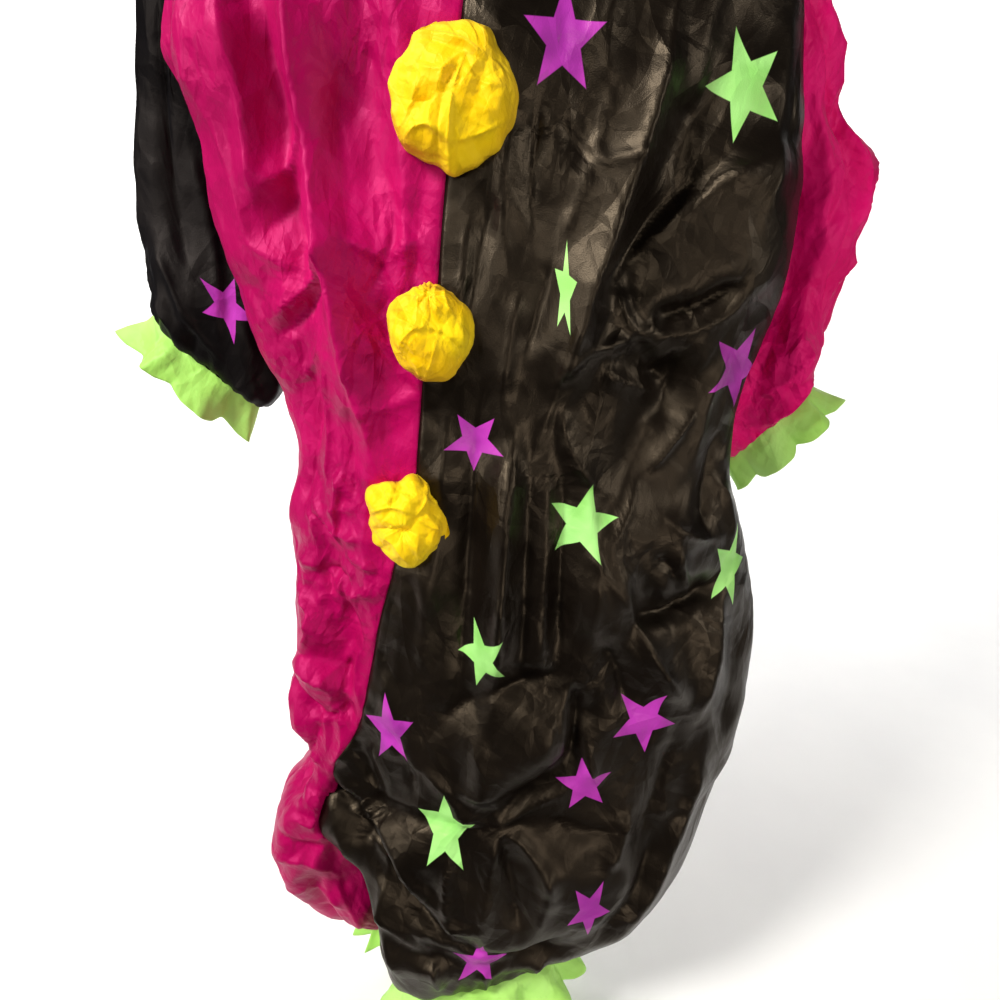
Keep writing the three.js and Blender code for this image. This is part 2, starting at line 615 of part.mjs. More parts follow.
// A sleeve's long folds: where round it they lie, in degrees, how wide, and how deep.
const SLEEVE_FOLDS = [
  { turn: 62, width: 16, depth: 8 },
  { turn: 104, width: 14, depth: -8 },
  { turn: 148, width: 16, depth: 6 },
  { turn: 236, width: 18, depth: -8 },
  { turn: 292, width: 16, depth: 7 },
];

function sleeveFold(turn, along) {
  const degrees = THREE.MathUtils.radToDeg(turn);
  const strength = smooth(along, 0.3, 0.5) * smooth(1 - along, 0, 0.12);
  return SLEEVE_FOLDS.reduce((sum, fold) => {
    const off = ((degrees - fold.turn + 540) % 360) - 180;
    return sum + strength * fold.depth * Math.exp(-((off / fold.width) ** 2));
  }, 0);
}

/** A sleeve's grid of points, clear of the body's back below the armhole. */
function sleeveGrid(table, side) {
  const grid = table.map((row, i) =>
    Array.from({ length: COLUMNS.sleeve }, (_, j) => {
      const turn = (2 * Math.PI * j) / COLUMNS.sleeve;
      const fold = sleeveFold(turn, i / (table.length - 1));
      const p = ringPoint(row, side, turn, -fold);
      if (i >= ARMHOLE_ROWS - 1) {
        p.y = Math.max(p.y, behindBody(p.x, p.z) + SLEEVE_CLEAR);
      }
      return p;
    }),
  );
  return { grid, normals: gridNormals(grid, side, true) };
}

/** The sleeve, ended where it meets the body, and the solid that cuts its armhole. */
function buildSleeve(table, side) {
  const { grid, normals } = sleeveGrid(table, side);
  const whole = toSolid(wall(grid, normals, CLOTH, true));
  const inner = grid
    .slice(0, ARMHOLE_ROWS)
    .map((row, i) => row.map((p, j) => p.clone().addScaledVector(normals[i][j], -CLOTH)));
  return {
    grid,
    normals,
    geometry: toGeometry(whole.subtract(trunkSolid(SEAM))),
    armhole: toSolid(filled(inner)),
  };
}

// ---------------------------------------------------------------------------------------------
// Bands and frills
// ---------------------------------------------------------------------------------------------

/** Twice as many points round a loop, each new one halfway along a side. */
function halved(loop) {
  return loop.flatMap((p, i) => [p.clone(), p.clone().lerp(loop[(i + 1) % loop.length], 0.5)]);
}

/** The middle of a loop of points. */
function middle(loop) {
  return loop.reduce((sum, p) => sum.addScaledVector(p, 1 / loop.length), vec(0, 0, 0));
}

/** A frill that is gathered on a hem and falls from it in flutes, wider at its edge. */
function frill(hem, axis, style) {
  const loop = halved(hem);
  const centre = middle(loop);
  const outwards = loop.map((p) => {
    const away = p.clone().sub(centre);
    return away.addScaledVector(axis, -away.dot(axis)).normalize();
  });
  const grid = [0, 0.45, 1].map((share) =>
    loop.map((p, j) => {
      const phase = (2 * Math.PI * style.flutes * j) / loop.length;
      const uneven = 0.75 + 0.25 * Math.sin(phase / 3 + 1);
      const out = HEM_LAP + share * (style.flare + style.wave * uneven * Math.sin(phase));
      const fall = SEAM + share * (style.length + 4 * Math.sin(phase / 2));
      return p.clone().addScaledVector(outwards[j], out).addScaledVector(axis, fall);
    }),
  );
  const normals = gridNormals(grid, 1, true);
  const flip = normals[0][0].dot(outwards[0]) < 0 ? -1 : 1;
  normals.forEach((row) => row.forEach((n) => n.multiplyScalar(flip)));
  return wall(grid, normals, CLOTH, true);
}

/** The hem edge of one leg: its front from the side to the inner seam, then its back. */
function legHem(front, back) {
  const end = front.grid.length - 1;
  return [...[...front.grid[end]].reverse(), ...back.grid[end].slice(1, -1)];
}

/** The elastic neckband, standing on the neck edge. */
function neckband() {
  const edge = bodyLoop(0).map(({ point }) => point);
  const grid = [NECKBAND_HEIGHT, SEAM].map((height) => edge.map((p) => p.clone().setZ(height)));
  const normals = grid.map((row) => row.map((p) => vec(p.x, p.y, 0).normalize()));
  return wall(grid, normals, NECKBAND_WALL, true);
}

// ---------------------------------------------------------------------------------------------
// Pompons
// ---------------------------------------------------------------------------------------------

/** A puff whose back is cut to lie on the body. */
function pompon(shape, bodySolid) {
  const row = rowAt(ROWS.left, rowOfLevel(ROWS.left, shape.z));
  const rings = [];
  for (let i = 1; i < POMPON_RINGS; i += 1) {
    const polar = (Math.PI * i) / POMPON_RINGS;
    const spread = Math.sin(polar) ** 0.75;
    rings.push(
      Array.from({ length: POMPON_AROUND }, (_, j) => {
        const turn = (2 * Math.PI * j) / POMPON_AROUND;
        const lobe = 1 + 0.07 * Math.sin(shape.lobes * turn + shape.turn);
        const dent = 0.1 * Math.sin(3 * turn + shape.turn * 2 + i);
        return vec(
          shape.x + shape.wide * spread * lobe * Math.cos(turn),
          row.frontY - shape.thick * (Math.cos(polar) + dent * spread),
          shape.z + shape.high * spread * lobe * Math.sin(turn),
        );
      }),
    );
  }
  return toGeometry(toSolid(filled(rings)).subtract(bodySolid));
}

// ---------------------------------------------------------------------------------------------
// The costume
// ---------------------------------------------------------------------------------------------

const costume = new THREE.Group();

function add(name, geometry, finish) {
  const mesh = new THREE.Mesh(geometry, new THREE.MeshStandardMaterial(FINISH[finish]));
  mesh.name = name;
  costume.add(mesh);
}

const rightSleeve = buildSleeve(RIGHT_SLEEVE, -1);
const leftSleeve = buildSleeve(LEFT_SLEEVE, 1);
const armholes = rightSleeve.armhole.add(leftSleeve.armhole);

for (const panel of body) {
  const solid = toSolid(wall(openSeams(panel), panel.normals)).subtract(armholes);
  const above = solid.trimByPlane([0, 0, 1], LEG_JOIN + SEAM / 2);
  const below = solid.trimByPlane([0, 0, -1], -LEG_JOIN + SEAM / 2);
  const colour = panel.name.split("_")[1];
  add(panel.name, toGeometry(above), colour);
  add(`${panel.name}_leg`, toGeometry(below), colour);
}

add("sleeve_black", rightSleeve.geometry, "black");
add("sleeve_magenta", leftSleeve.geometry, "magenta");
add("neckband", neckband(), "black");

const down = vec(0, 0, -1);
add("ankle_frill_right", frill(legHem(rightFront, rightBack), down, ANKLE_FRILL), "green");
add("ankle_frill_left", frill(legHem(leftFront, leftBack), down, ANKLE_FRILL), "green");
for (const [name, sleeve, table, side] of [
  ["wrist_frill_right", rightSleeve, RIGHT_SLEEVE, -1],
  ["wrist_frill_left", leftSleeve, LEFT_SLEEVE, 1],
]) {
  const lean = radians(table.at(-1).lean);
  const axis = vec(side * Math.sin(lean), 0, -Math.cos(lean));
  add(name, frill(sleeve.grid.at(-1), axis, WRIST_FRILL), "green");
}

const onTheBody = trunkSolid(SEAM);
for (const shape of POMPONS) add(shape.name, pompon(shape, onTheBody), "yellow");

export default costume;
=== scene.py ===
"""Inflatable clown costume, let down and hanging by its neck, as a hollow garment.

Every piece of cloth is a fine sheet on the form of its own CAD solid: the same section tables, the
same large folds, then creases given one by one and a crumple that runs on across the seams. Tables
are in millimetres, meshes in metres. The front faces -Y and the wearer's right hand is at -X.
"""

import logging
import math
from dataclasses import dataclass, field
from enum import Enum
from typing import Iterable, Sequence

import bmesh
import bpy
import numpy as np
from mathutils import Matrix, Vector


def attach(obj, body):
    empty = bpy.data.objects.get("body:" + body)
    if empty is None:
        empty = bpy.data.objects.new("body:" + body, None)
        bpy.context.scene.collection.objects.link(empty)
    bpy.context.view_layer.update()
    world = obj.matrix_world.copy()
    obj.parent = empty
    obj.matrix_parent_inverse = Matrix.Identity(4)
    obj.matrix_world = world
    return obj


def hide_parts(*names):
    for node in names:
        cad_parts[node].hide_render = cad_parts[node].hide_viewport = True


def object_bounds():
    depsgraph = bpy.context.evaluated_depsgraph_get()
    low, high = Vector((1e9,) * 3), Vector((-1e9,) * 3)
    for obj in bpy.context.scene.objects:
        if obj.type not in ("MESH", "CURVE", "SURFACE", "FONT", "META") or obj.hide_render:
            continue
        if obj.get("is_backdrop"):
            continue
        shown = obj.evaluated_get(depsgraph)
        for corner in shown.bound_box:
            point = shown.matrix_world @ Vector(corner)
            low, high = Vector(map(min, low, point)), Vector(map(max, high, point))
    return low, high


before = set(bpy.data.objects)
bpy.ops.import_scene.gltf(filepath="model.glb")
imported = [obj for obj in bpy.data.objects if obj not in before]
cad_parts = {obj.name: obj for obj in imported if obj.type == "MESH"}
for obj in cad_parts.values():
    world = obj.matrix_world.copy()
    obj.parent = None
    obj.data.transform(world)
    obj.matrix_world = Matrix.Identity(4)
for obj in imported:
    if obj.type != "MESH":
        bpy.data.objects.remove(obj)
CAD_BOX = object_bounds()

MM = 0.001
log = logging.getLogger("costume")
Loop = np.ndarray  # points of a closed line, N by 3
Grid = np.ndarray  # points of a sheet, rows by columns by 3


class Side(Enum):
    """The wearer's sides, and the sign of X there."""

    RIGHT = -1
    LEFT = 1


class Face(Enum):
    """The two faces of the body, and the sign of Y there."""

    FRONT = -1
    BACK = 1


class Held(Enum):
    """How a sheet of cloth is held."""

    HUNG = "hung"
    GATHERED = "gathered"


# Tables


class Table:
    """Rows of numbers under named columns, read on a smooth curve between the rows."""

    def __init__(self, columns: str, *rows: Sequence[float]) -> None:
        """Keeps the rows.

        Args:
            columns: The columns' names, with spaces between them.
            rows: One sequence of numbers for each row.
        """
        self.names = columns.split()
        self.values = np.array(rows, float)

    def __len__(self) -> int:
        """The number of rows."""
        return len(self.values)

    def column(self, name: str) -> np.ndarray:
        """One column's numbers."""
        return self.values[:, self.names.index(name)]

    def at(self, places: np.ndarray) -> dict[str, np.ndarray]:
        """Every column at fractional rows.

        Args:
            places: Where to read, as row numbers with a fraction.

        Returns:
            Each column's values, by its name.
        """
        last = len(self) - 1
        start = np.clip(np.floor(places).astype(int), 0, last - 1)
        t = (np.asarray(places, float) - start)[..., None]
        a, b, c, d = (self.values[np.clip(start + step, 0, last)] for step in (-1, 0, 1, 2))
        slope_b, slope_c = (c - a) / 2, (d - b) / 2
        bend = 2 * (b - c) + slope_b + slope_c
        rise = 3 * (c - b) - 2 * slope_b - slope_c
        out = ((bend * t + rise) * t + slope_b) * t + b
        return {name: out[..., i] for i, name in enumerate(self.names)}

    def place_of_level(self, level: np.ndarray) -> np.ndarray:
        """The fractional row at a level, in a table whose levels fall."""
        levels = self.column("level")
        return np.interp(-np.asarray(level, float), -levels, np.arange(len(levels)))

    def items(self) -> Iterable[dict[str, float]]:
        """Each row as a dictionary."""
        for row in self.values:
            yield dict(zip(self.names, row))


TRUNK = Table(
    "level frontX backX right left front back",
    (0, 0, 0, -88, 88, 78, 70),
    (-10, -1, 0, -91, 91, 81, 73),
    (-22, -3, 0, -140, 138, 94, 82),
    (-45, -7, -1, -212, 206, 106, 91),
    (-85, -12, -3, -272, 262, 114, 96),
    (-130, -19, -5, -306, 288, 119, 98),
    (-174, -26, -8, -328, 303, 122, 98),
    (-220, -33, -12, -346, 309, 123, 97),
    (-258, -38, -15, -334, 312, 122, 96),
    (-305, -45, -18, -320, 316, 120, 95),
    (-375, -54, -24, -316, 317, 117, 92),
    (-467, -63, -33, -292, 307, 115, 89),
    (-520, -74, -39, -275, 292, 114, 88),
    (-570, -83, -45, -255, 279, 113, 87),
    (-660, -93, -58, -247, 273, 114, 88),
    (-708, -107, -67, -262, 287, 116, 91),
    (-765, -123, -80, -260, 304, 119, 95),
    (-828, -141, -97, -248, 322, 122, 98),
    (-895, -157, -118, -250, 329, 124, 100),
    (-955, -173, -140, -276, 327, 125, 100),
    (-1000, -191, -162, -272, 325, 125, 100),
    (-1035, -208, -184, -264, 322, 123, 99),
)
CROTCH = Table(
    "level frontX frontY backX backY wrapRight wrapLeft right left rightFront rightBack"
    " leftFront leftBack",
    (-1060, -213, -63, -200, 46, 62, 150, -258, 320, 98, 88, 122, 100),
    (-1080, -217, -52, -212, 14, 105, 160, -266, 314, 84, 80, 120, 103),
    (-1095, -220, -30, -220, -30, 145, 170, -276, 308, 74, 76, 122, 108),
)
LEG_COLUMNS = "level innerX innerY outerX outerY front back drop"
RIGHT_LEG = Table(
    LEG_COLUMNS,
    (-1106, -220, -4, -286, 0, 66, 74, 0),
    (-1120, -214, 10, -296, 0, 66, 74, 0),
    (-1142, -206, 20, -304, 0, 70, 74, 0),
    (-1175, -190, 28, -311, 0, 74, 74, 0),
    (-1215, -172, 36, -316, 2, 78, 76, 0),
    (-1265, -152, 44, -303, 6, 76, 78, 2),
    (-1318, -132, 54, -279, 10, 70, 78, 4),
    (-1362, -116, 62, -250, 20, 58, 68, 4),
    (-1390, -106, 66, -226, 36, 46, 56, 2),
    (-1391, -114, 66, -204, 50, 38, 42, 1),
)
LEFT_LEG = Table(
    LEG_COLUMNS,
    (-1106, -224, -38, 304, -2, 116, 107, 0),
    (-1120, -230, -47, 299, -4, 116, 106, 0),
    (-1142, -232, -56, 291, -6, 117, 106, 0),
    (-1175, -206, -62, 280, -8, 121, 104, 0),
    (-1218, -182, -66, 262, -10, 125, 101, 0),
    (-1270, -172, -70, 230, -14, 125, 98, 6),
    (-1315, -168, -74, 184, -20, 118, 93, 18),
    (-1346, -161, -76, 136, -28, 102, 82, 32),
    (-1362, -149, -74, 104, -34, 84, 66, 38),
    (-1363, -134, -66, 82, -40, 66, 48, 38),
)
LEGS = {Side.RIGHT: RIGHT_LEG, Side.LEFT: LEFT_LEG}
ARM_COLUMNS = "x y z wide deep lean"
RIGHT_ARM = Table(
    ARM_COLUMNS,
    (-168, 4, -112, 72, 66, 60),
    (-232, 14, -128, 82, 72, 54),
    (-288, 42, -172, 90, 74, 40),
    (-322, 78, -240, 92, 70, 18),
    (-334, 92, -310, 94, 68, 6),
    (-338, 94, -375, 96, 68, 4),
    (-340, 92, -435, 98, 68, 12),
    (-346, 88, -488, 99, 66, 28),
    (-358, 84, -524, 96, 58, 40),
    (-368, 82, -540, 90, 48, 43),
    (-368, 82, -540, 80, 40, 43),
)
LEFT_ARM = Table(
    ARM_COLUMNS,
    (160, 4, -112, 72, 66, 60),
    (214, 14, -132, 80, 72, 54),
    (262, 42, -186, 82, 72, 36),
    (304, 78, -258, 89, 70, 14),
    (332, 92, -325, 98, 68, 4),
    (338, 94, -400, 98, 68, 4),
    (334, 92, -475, 97, 66, 8),
    (332, 88, -545, 98, 64, 20),
    (332, 84, -592, 86, 56, 36),
    (344, 82, -618, 78, 46, 45),
    (344, 82, -618, 68, 38, 45),
)
ARMS = {Side.RIGHT: RIGHT_ARM, Side.LEFT: LEFT_ARM}

# The large folds of the solids. Each runs from one point by a middle one to its end, as seen from
# the front, with its half width, and its depth: out as a ridge, or in as a negative trough.
FOLD_COLUMNS = "fromX fromZ viaX viaZ toX toZ width depth"
FRONT_FOLDS = Table(
    FOLD_COLUMNS,
    (-189, -150, -167, -400, -145, -640, 24, 16),
    (-222, -150, -212, -330, -190, -470, 20, -17),
    (-256, -150, -246, -300, -244, -380, 22, 13),
    (-132, -150, -115, -400, -122, -660, 26, -12),
    (-214, -500, -212, -600, -222, -700, 20, -13),
    (-232, -740, -216, -850, -238, -975, 20, 11),
    (-196, -700, -186, -860, -208, -1000, 18, -11),
    (-285, -1092, -252, -1098, -222, -1085, 18, -16),
    (-284, -1130, -292, -1220, -262, -1350, 16, 9),
    (-258, -1130, -262, -1230, -238, -1340, 12, -10),
    (160, -215, 104, -405, 42, -570, 32, 20),
    (208, -235, 148, -372, 98, -510, 28, -20),
    (268, -290, 236, -410, 200, -500, 38, 12),
    (150, -486, 192, -480, 240, -448, 18, -12),
    (126, -500, 160, -575, 138, -690, 26, -14),
    (20, -585, 2, -740, -8, -910, 20, 12),
    (-28, -620, -34, -760, -44, -900, 20, -10),
    (56, -600, 54, -740, 60, -900, 22, -11),
    (98, -745, 152, -850, 232, -940, 20, 13),
    (144, -802, 204, -812, 268, -782, 18, -15),
    (-50, -955, 15, -975, 78, -950, 46, 15),
    (108, -900, 84, -990, 0, -1065, 22, -18),
    (60, -1120, 120, -1170, 190, -1190, 50, 13),
    (-205, -1110, -150, -1180, -80, -1240, 18, -12),
    (-130, -1270, -20, -1325, 130, -1270, 22, -16),
)
BACK_FOLDS = Table(
    FOLD_COLUMNS,
    (-235, -290, -190, -480, -160, -760, 28, 11),
    (-150, -150, -120, -420, -112, -700, 26, -11),
    (-212, -700, -196, -860, -226, -1010, 20, -10),
    (60, -160, 34, -420, 18, -700, 30, 12),
    (130, -250, 118, -480, 142, -760, 30, -13),
    (205, -330, 196, -560, 236, -800, 26, 9),
    (-20, -760, 60, -880, 190, -940, 34, -13),
    (0, -1060, 90, -1130, 190, -1150, 44, 12),
)
LARGE_FOLDS = {Face.FRONT: FRONT_FOLDS, Face.BACK: BACK_FOLDS}


def creases(*rows: Sequence[float]) -> Table:
    """A table of creases, given one by one.

    A crease has two columns more than a fold. edge says how crisp its crest or its bottom is, from
    1, a crease, which is usual, to 2, a soft roll. lean makes one flank steep and the other broad,
    and is usually 0.

    Args:
        rows: Each crease, with its edge and its lean only where they aren't the usual ones.

    Returns:
        The table, with every row filled up.
    """
    usual = (1.0, 0.0)
    given = len(FOLD_COLUMNS.split())
    filled = ((*row, *usual[len(row) - given :]) for row in rows)
    return Table(f"{FOLD_COLUMNS} edge lean", *filled)



FRONT_CREASES = creases(
    # right front: long hanging folds
    (-186, -150, -172, -370, -130, -650, 15, 11, 1, 0.5),
    (-184, -150, -172, -370, -128, -600, 5, 3, 1, -0.4),
    (-216, -180, -198, -330, -176, -450, 6, 4, 1, 0.4),
    (-250, -150, -243, -280, -244, -365, 9, 6, 1.1, 0.3),
    (-160, -170, -150, -330, -138, -520, 9, -4, 1.4),
    (-98, -150, -92, -300, -100, -480, 11, 4, 1.5, 0.2),
    (-70, -330, -84, -430, -100, -540, 9, -4, 1.4),
    (-176, -510, -190, -600, -196, -680, 9, 7, 1.1, -0.4),
    (-206, -560, -224, -650, -232, -700, 9, -5, 1.3),
    (-150, -540, -160, -640, -158, -700, 9, -4, 1.4),
    # and its diagonal facets
    (-248, -366, -205, -330, -178, -290, 9, 8, 1, 0.5),
    (-252, -400, -215, -372, -190, -330, 9, -5, 1.2),
    (-250, -484, -196, -446, -152, -400, 10, 9, 1, 0.5),
    (-252, -512, -208, -474, -168, -436, 9, -7, 1.2),
    (-268, -404, -240, -424, -212, -432, 8, 5, 1.1),
    (-240, -560, -205, -530, -180, -500, 8, 5, 1.1, 0.2),
    (-300, -250, -270, -330, -262, -420, 12, 5, 1.3),
    # creases that meet at a point
    (-115, -424, -134, -412, -152, -402, 6, 4),
    (-115, -424, -95, -414, -76, -408, 6, 4),
    (-115, -424, -105, -448, -94, -474, 6, 4),
    (-115, -424, -128, -444, -140, -464, 6, -4),
    (-115, -424, -114, -384, -118, -345, 6, 3),
    (-84, -556, -118, -520, -148, -482, 7, 4),
    (-84, -556, -112, -568, -146, -578, 7, 4),
    (-84, -556, -82, -528, -84, -500, 7, 4),
    (-84, -556, -106, -534, -130, -500, 6, -4),
    # the crumpled lower half
    (-187, -652, -168, -668, -150, -686, 8, 6),
    (-150, -686, -175, -690, -200, -698, 8, 6, 1, 0.2),
    (-228, -700, -200, -716, -178, -745, 8, -5, 1.1),
    (-178, -745, -156, -750, -134, -757, 8, 6),
    (-250, -760, -214, -770, -187, -806, 9, 6, 1.1),
    (-187, -806, -202, -808, -218, -812, 7, 5),
    (-187, -806, -164, -792, -140, -781, 7, 5),
    (-187, -806, -193, -822, -199, -840, 7, 5),
    (-187, -806, -176, -834, -166, -863, 7, -5),
    (-226, -830, -208, -850, -190, -870, 8, 6),
    (-238, -910, -204, -926, -172, -945, 9, 7, 1, 0.2),
    (-244, -880, -216, -890, -182, -900, 8, -6, 1.1),
    (-256, -950, -230, -968, -202, -968, 9, -6, 1.1),
    (-240, -988, -214, -976, -188, -972, 8, 6),
    (-262, -1024, -244, -1030, -224, -1046, 8, 7),
    (-236, -690, -214, -730, -224, -780, 8, 7, 1, 0.3),
    (-214, -690, -190, -716, -150, -720, 8, 7, 1, -0.3),
    (-224, -780, -196, -772, -160, -790, 8, -6),
    (-238, -800, -216, -836, -226, -880, 8, 7, 1, 0.3),
    (-226, -880, -206, -916, -214, -950, 8, 7),
    (-176, -870, -200, -900, -206, -930, 8, 7, 1, -0.3),
    (-190, -930, -212, -960, -236, -976, 8, 6),
    (-214, -950, -200, -1000, -214, -1040, 8, 7, 1, 0.2),
    (-170, -640, -184, -700, -178, -745, 9, 7, 1, -0.5),
    (-178, -745, -190, -780, -187, -806, 9, 7, 1, 0.5),
    (-166, -863, -176, -900, -172, -945, 9, 7, 1, -0.5),
    # the right leg
    (-282, -1118, -246, -1096, -214, -1110, 8, 6),
    (-268, -1120, -236, -1150, -200, -1215, 10, 7, 1.1, 0.3),
    (-292, -1150, -262, -1170, -232, -1170, 9, -6, 1.1),
    (-300, -1200, -262, -1196, -222, -1240, 10, 6),
    (-286, -1250, -252, -1262, -214, -1300, 10, 6),
    (-264, -1300, -236, -1330, -220, -1370, 8, -5, 1.1),
    (-230, -1250, -212, -1300, -200, -1350, 9, 6, 1.1),
    # left front: the long crest and the broad field beside it
    (160, -190, 120, -350, 38, -604, 13, 9, 1, 0.4),
    (214, -330, 150, -392, 72, -486, 13, -9, 1.4, 0.2),
    (118, -445, 184, -372, 262, -322, 11, 7, 1.2, -0.3),
    (276, -190, 262, -290, 250, -400, 16, 5, 1.5),
    (290, -300, 276, -400, 244, -476, 55, 9, 1.7, -0.3),
    (148, -482, 206, -468, 240, -440, 7, -9, 1.1, 0.3),
    (150, -498, 210, -486, 250, -452, 8, 6, 1.1),
    (120, -445, 130, -482, 160, -506, 8, 6, 1.1),
    (138, -492, 158, -526, 186, -548, 13, -10, 1.5),
    (168, -520, 182, -556, 180, -606, 22, -12, 1.8),
    (210, -576, 190, -606, 156, -650, 9, 8, 1.1, -0.4),
    (176, -508, 190, -540, 184, -570, 9, -7, 1.2),
    (104, -528, 136, -548, 170, -556, 9, 6, 1.1),
    (54, -542, 92, -512, 144, -504, 9, 6, 1.1),
    (66, -560, 72, -614, 114, -666, 9, 7, 1.1, 0.2),
    (240, -520, 222, -570, 214, -640, 10, 5, 1.3),
    (250, -600, 232, -660, 236, -730, 10, -6, 1.3),
    # small crumples on the chest
    (86, -338, 72, -372, 58, -408, 7, 4),
    (86, -338, 92, -310, 100, -278, 7, 4),
    (86, -338, 112, -334, 146, -328, 7, 4),
    (86, -338, 68, -318, 52, -296, 7, -4),
    (36, -284, 30, -340, 32, -408, 9, -6, 1.2),
    (10, -300, 2, -360, 8, -430, 9, 5, 1.2),
    (-6, -370, -20, -420, -30, -484, 8, -5, 1.1),
    (-30, -390, -34, -430, -40, -470, 6, 4),
    (52, -420, 40, -470, 22, -520, 9, -6, 1.2),
    (20, -450, 10, -500, 4, -560, 8, 5, 1.1),
    (110, -180, 96, -230, 100, -290, 12, 4, 1.3),
    (200, -170, 186, -230, 190, -300, 14, 4, 1.4),
    # the hanging folds below the waist
    (-52, -560, -68, -700, -84, -860, 13, 5, 1.3, -0.3),
    (-22, -570, -34, -720, -48, -900, 13, -6, 1.4, 0.3),
    (12, -590, 4, -750, -4, -900, 19, 10, 1.5, -0.5),
    (30, -600, 28, -750, 24, -900, 9, -5, 1.2),
    (52, -600, 50, -760, 50, -892, 18, 10, 1.5, -0.5),
    (72, -630, 70, -760, 74, -892, 9, -5, 1.2),
    (94, -640, 102, -740, 106, -860, 14, 6, 1.3, -0.3),
    (-92, -730, -84, -800, -96, -880, 10, 5, 1.3),
    # round the knee
    (150, -645, 136, -690, 118, -730, 9, 7, 1.1, 0.2),
    (90, -720, 118, -760, 150, -814, 8, 7),
    (114, -706, 150, -808, 228, -946, 9, 8, 1.1, 0.3),
    (146, -810, 190, -816, 242, -790, 8, -9, 1.1),
    (198, -726, 210, -770, 228, -814, 8, 6),
    (176, -690, 210, -720, 250, -730, 9, 6, 1.1),
    (170, -740, 196, -760, 206, -800, 8, -6, 1.1),
    (240, -660, 262, -700, 270, -750, 9, 5, 1.1),
    (268, -800, 262, -880, 244, -960, 12, 6, 1.3),
    (292, -830, 290, -920, 280, -1010, 14, -5, 1.4),
    (110, -830, 140, -880, 150, -940, 10, -7, 1.3),
    # the pooled bag
    (-72, -1030, 34, -1024, 104, -902, 38, 13, 1.3, 0.55),
    (-78, -960, -10, -905, 84, -880, 16, -8, 1.4),
    (86, -888, 92, -940, 86, -990, 8, -10, 1.2),
    (98, -930, 104, -990, 120, -1040, 10, 7, 1.1),
    (0, -1096, 38, -1064, 76, -1044, 8, 6),
    (0, -1096, -14, -1160, -26, -1236, 8, 6),
    (2, -1100, 16, -1170, 28, -1246, 8, -7, 1.1),
    (0, -1096, -4, -1070, -8, -1044, 7, 5),
    (4, -1098, 40, -1130, 70, -1190, 8, 7),
    (60, -1080, 96, -1100, 140, -1110, 10, -6, 1.2),
    (-96, -1010, -60, -1050, -40, -1100, 10, 6, 1.2),
    (-150, -960, -120, -1010, -110, -1060, 9, -6, 1.1),
    (-176, -1000, -150, -1040, -146, -1090, 9, 6, 1.1),
    (162, -1082, 150, -1120, 128, -1160, 11, 8, 1.2, 0.2),
    (254, -1020, 226, -1138, 150, -1285, 14, 9, 1.3, 0.3),
    (212, -980, 200, -1060, 160, -1200, 14, -7, 1.4),
    (200, -1120, 176, -1200, 120, -1270, 11, -6, 1.2),
    # tucks that run from the crotch round the hem
    (-216, -1046, -150, -1130, -54, -1254, 10, 9, 1.1, 0.3),
    (-222, -1076, -166, -1130, -40, -1272, 9, -8, 1.2),
    (-214, -1130, -176, -1200, -96, -1290, 9, 7, 1.1, 0.2),
    (-148, -1162, -146, -1260, -126, -1350, 10, 8, 1.1),
    (-176, -1250, -166, -1300, -150, -1350, 8, -6, 1.1),
    (-90, -1300, -84, -1330, -80, -1370, 8, 6, 1.1),
    (-20, -1340, -18, -1360, -20, -1390, 9, 5, 1.1),
    (60, -1310, 50, -1340, 44, -1370, 9, 5, 1.1),
    (-110, -1340, 0, -1362, 120, -1330, 34, -9, 1.8),
    (-166, -1100, -124, -1200, -66, -1250, 13, -10, 1.2, 0.3),
    (-80, -1240, 4, -1296, 96, -1252, 15, -10, 1.2, 0.3),
    (-130, -1150, -90, -1220, -30, -1240, 11, 8, 1.1),
    (-60, -1130, -70, -1180, -64, -1230, 9, 6),
    (60, -1130, 56, -1190, 40, -1250, 10, 6, 1.1, 0.2),
)
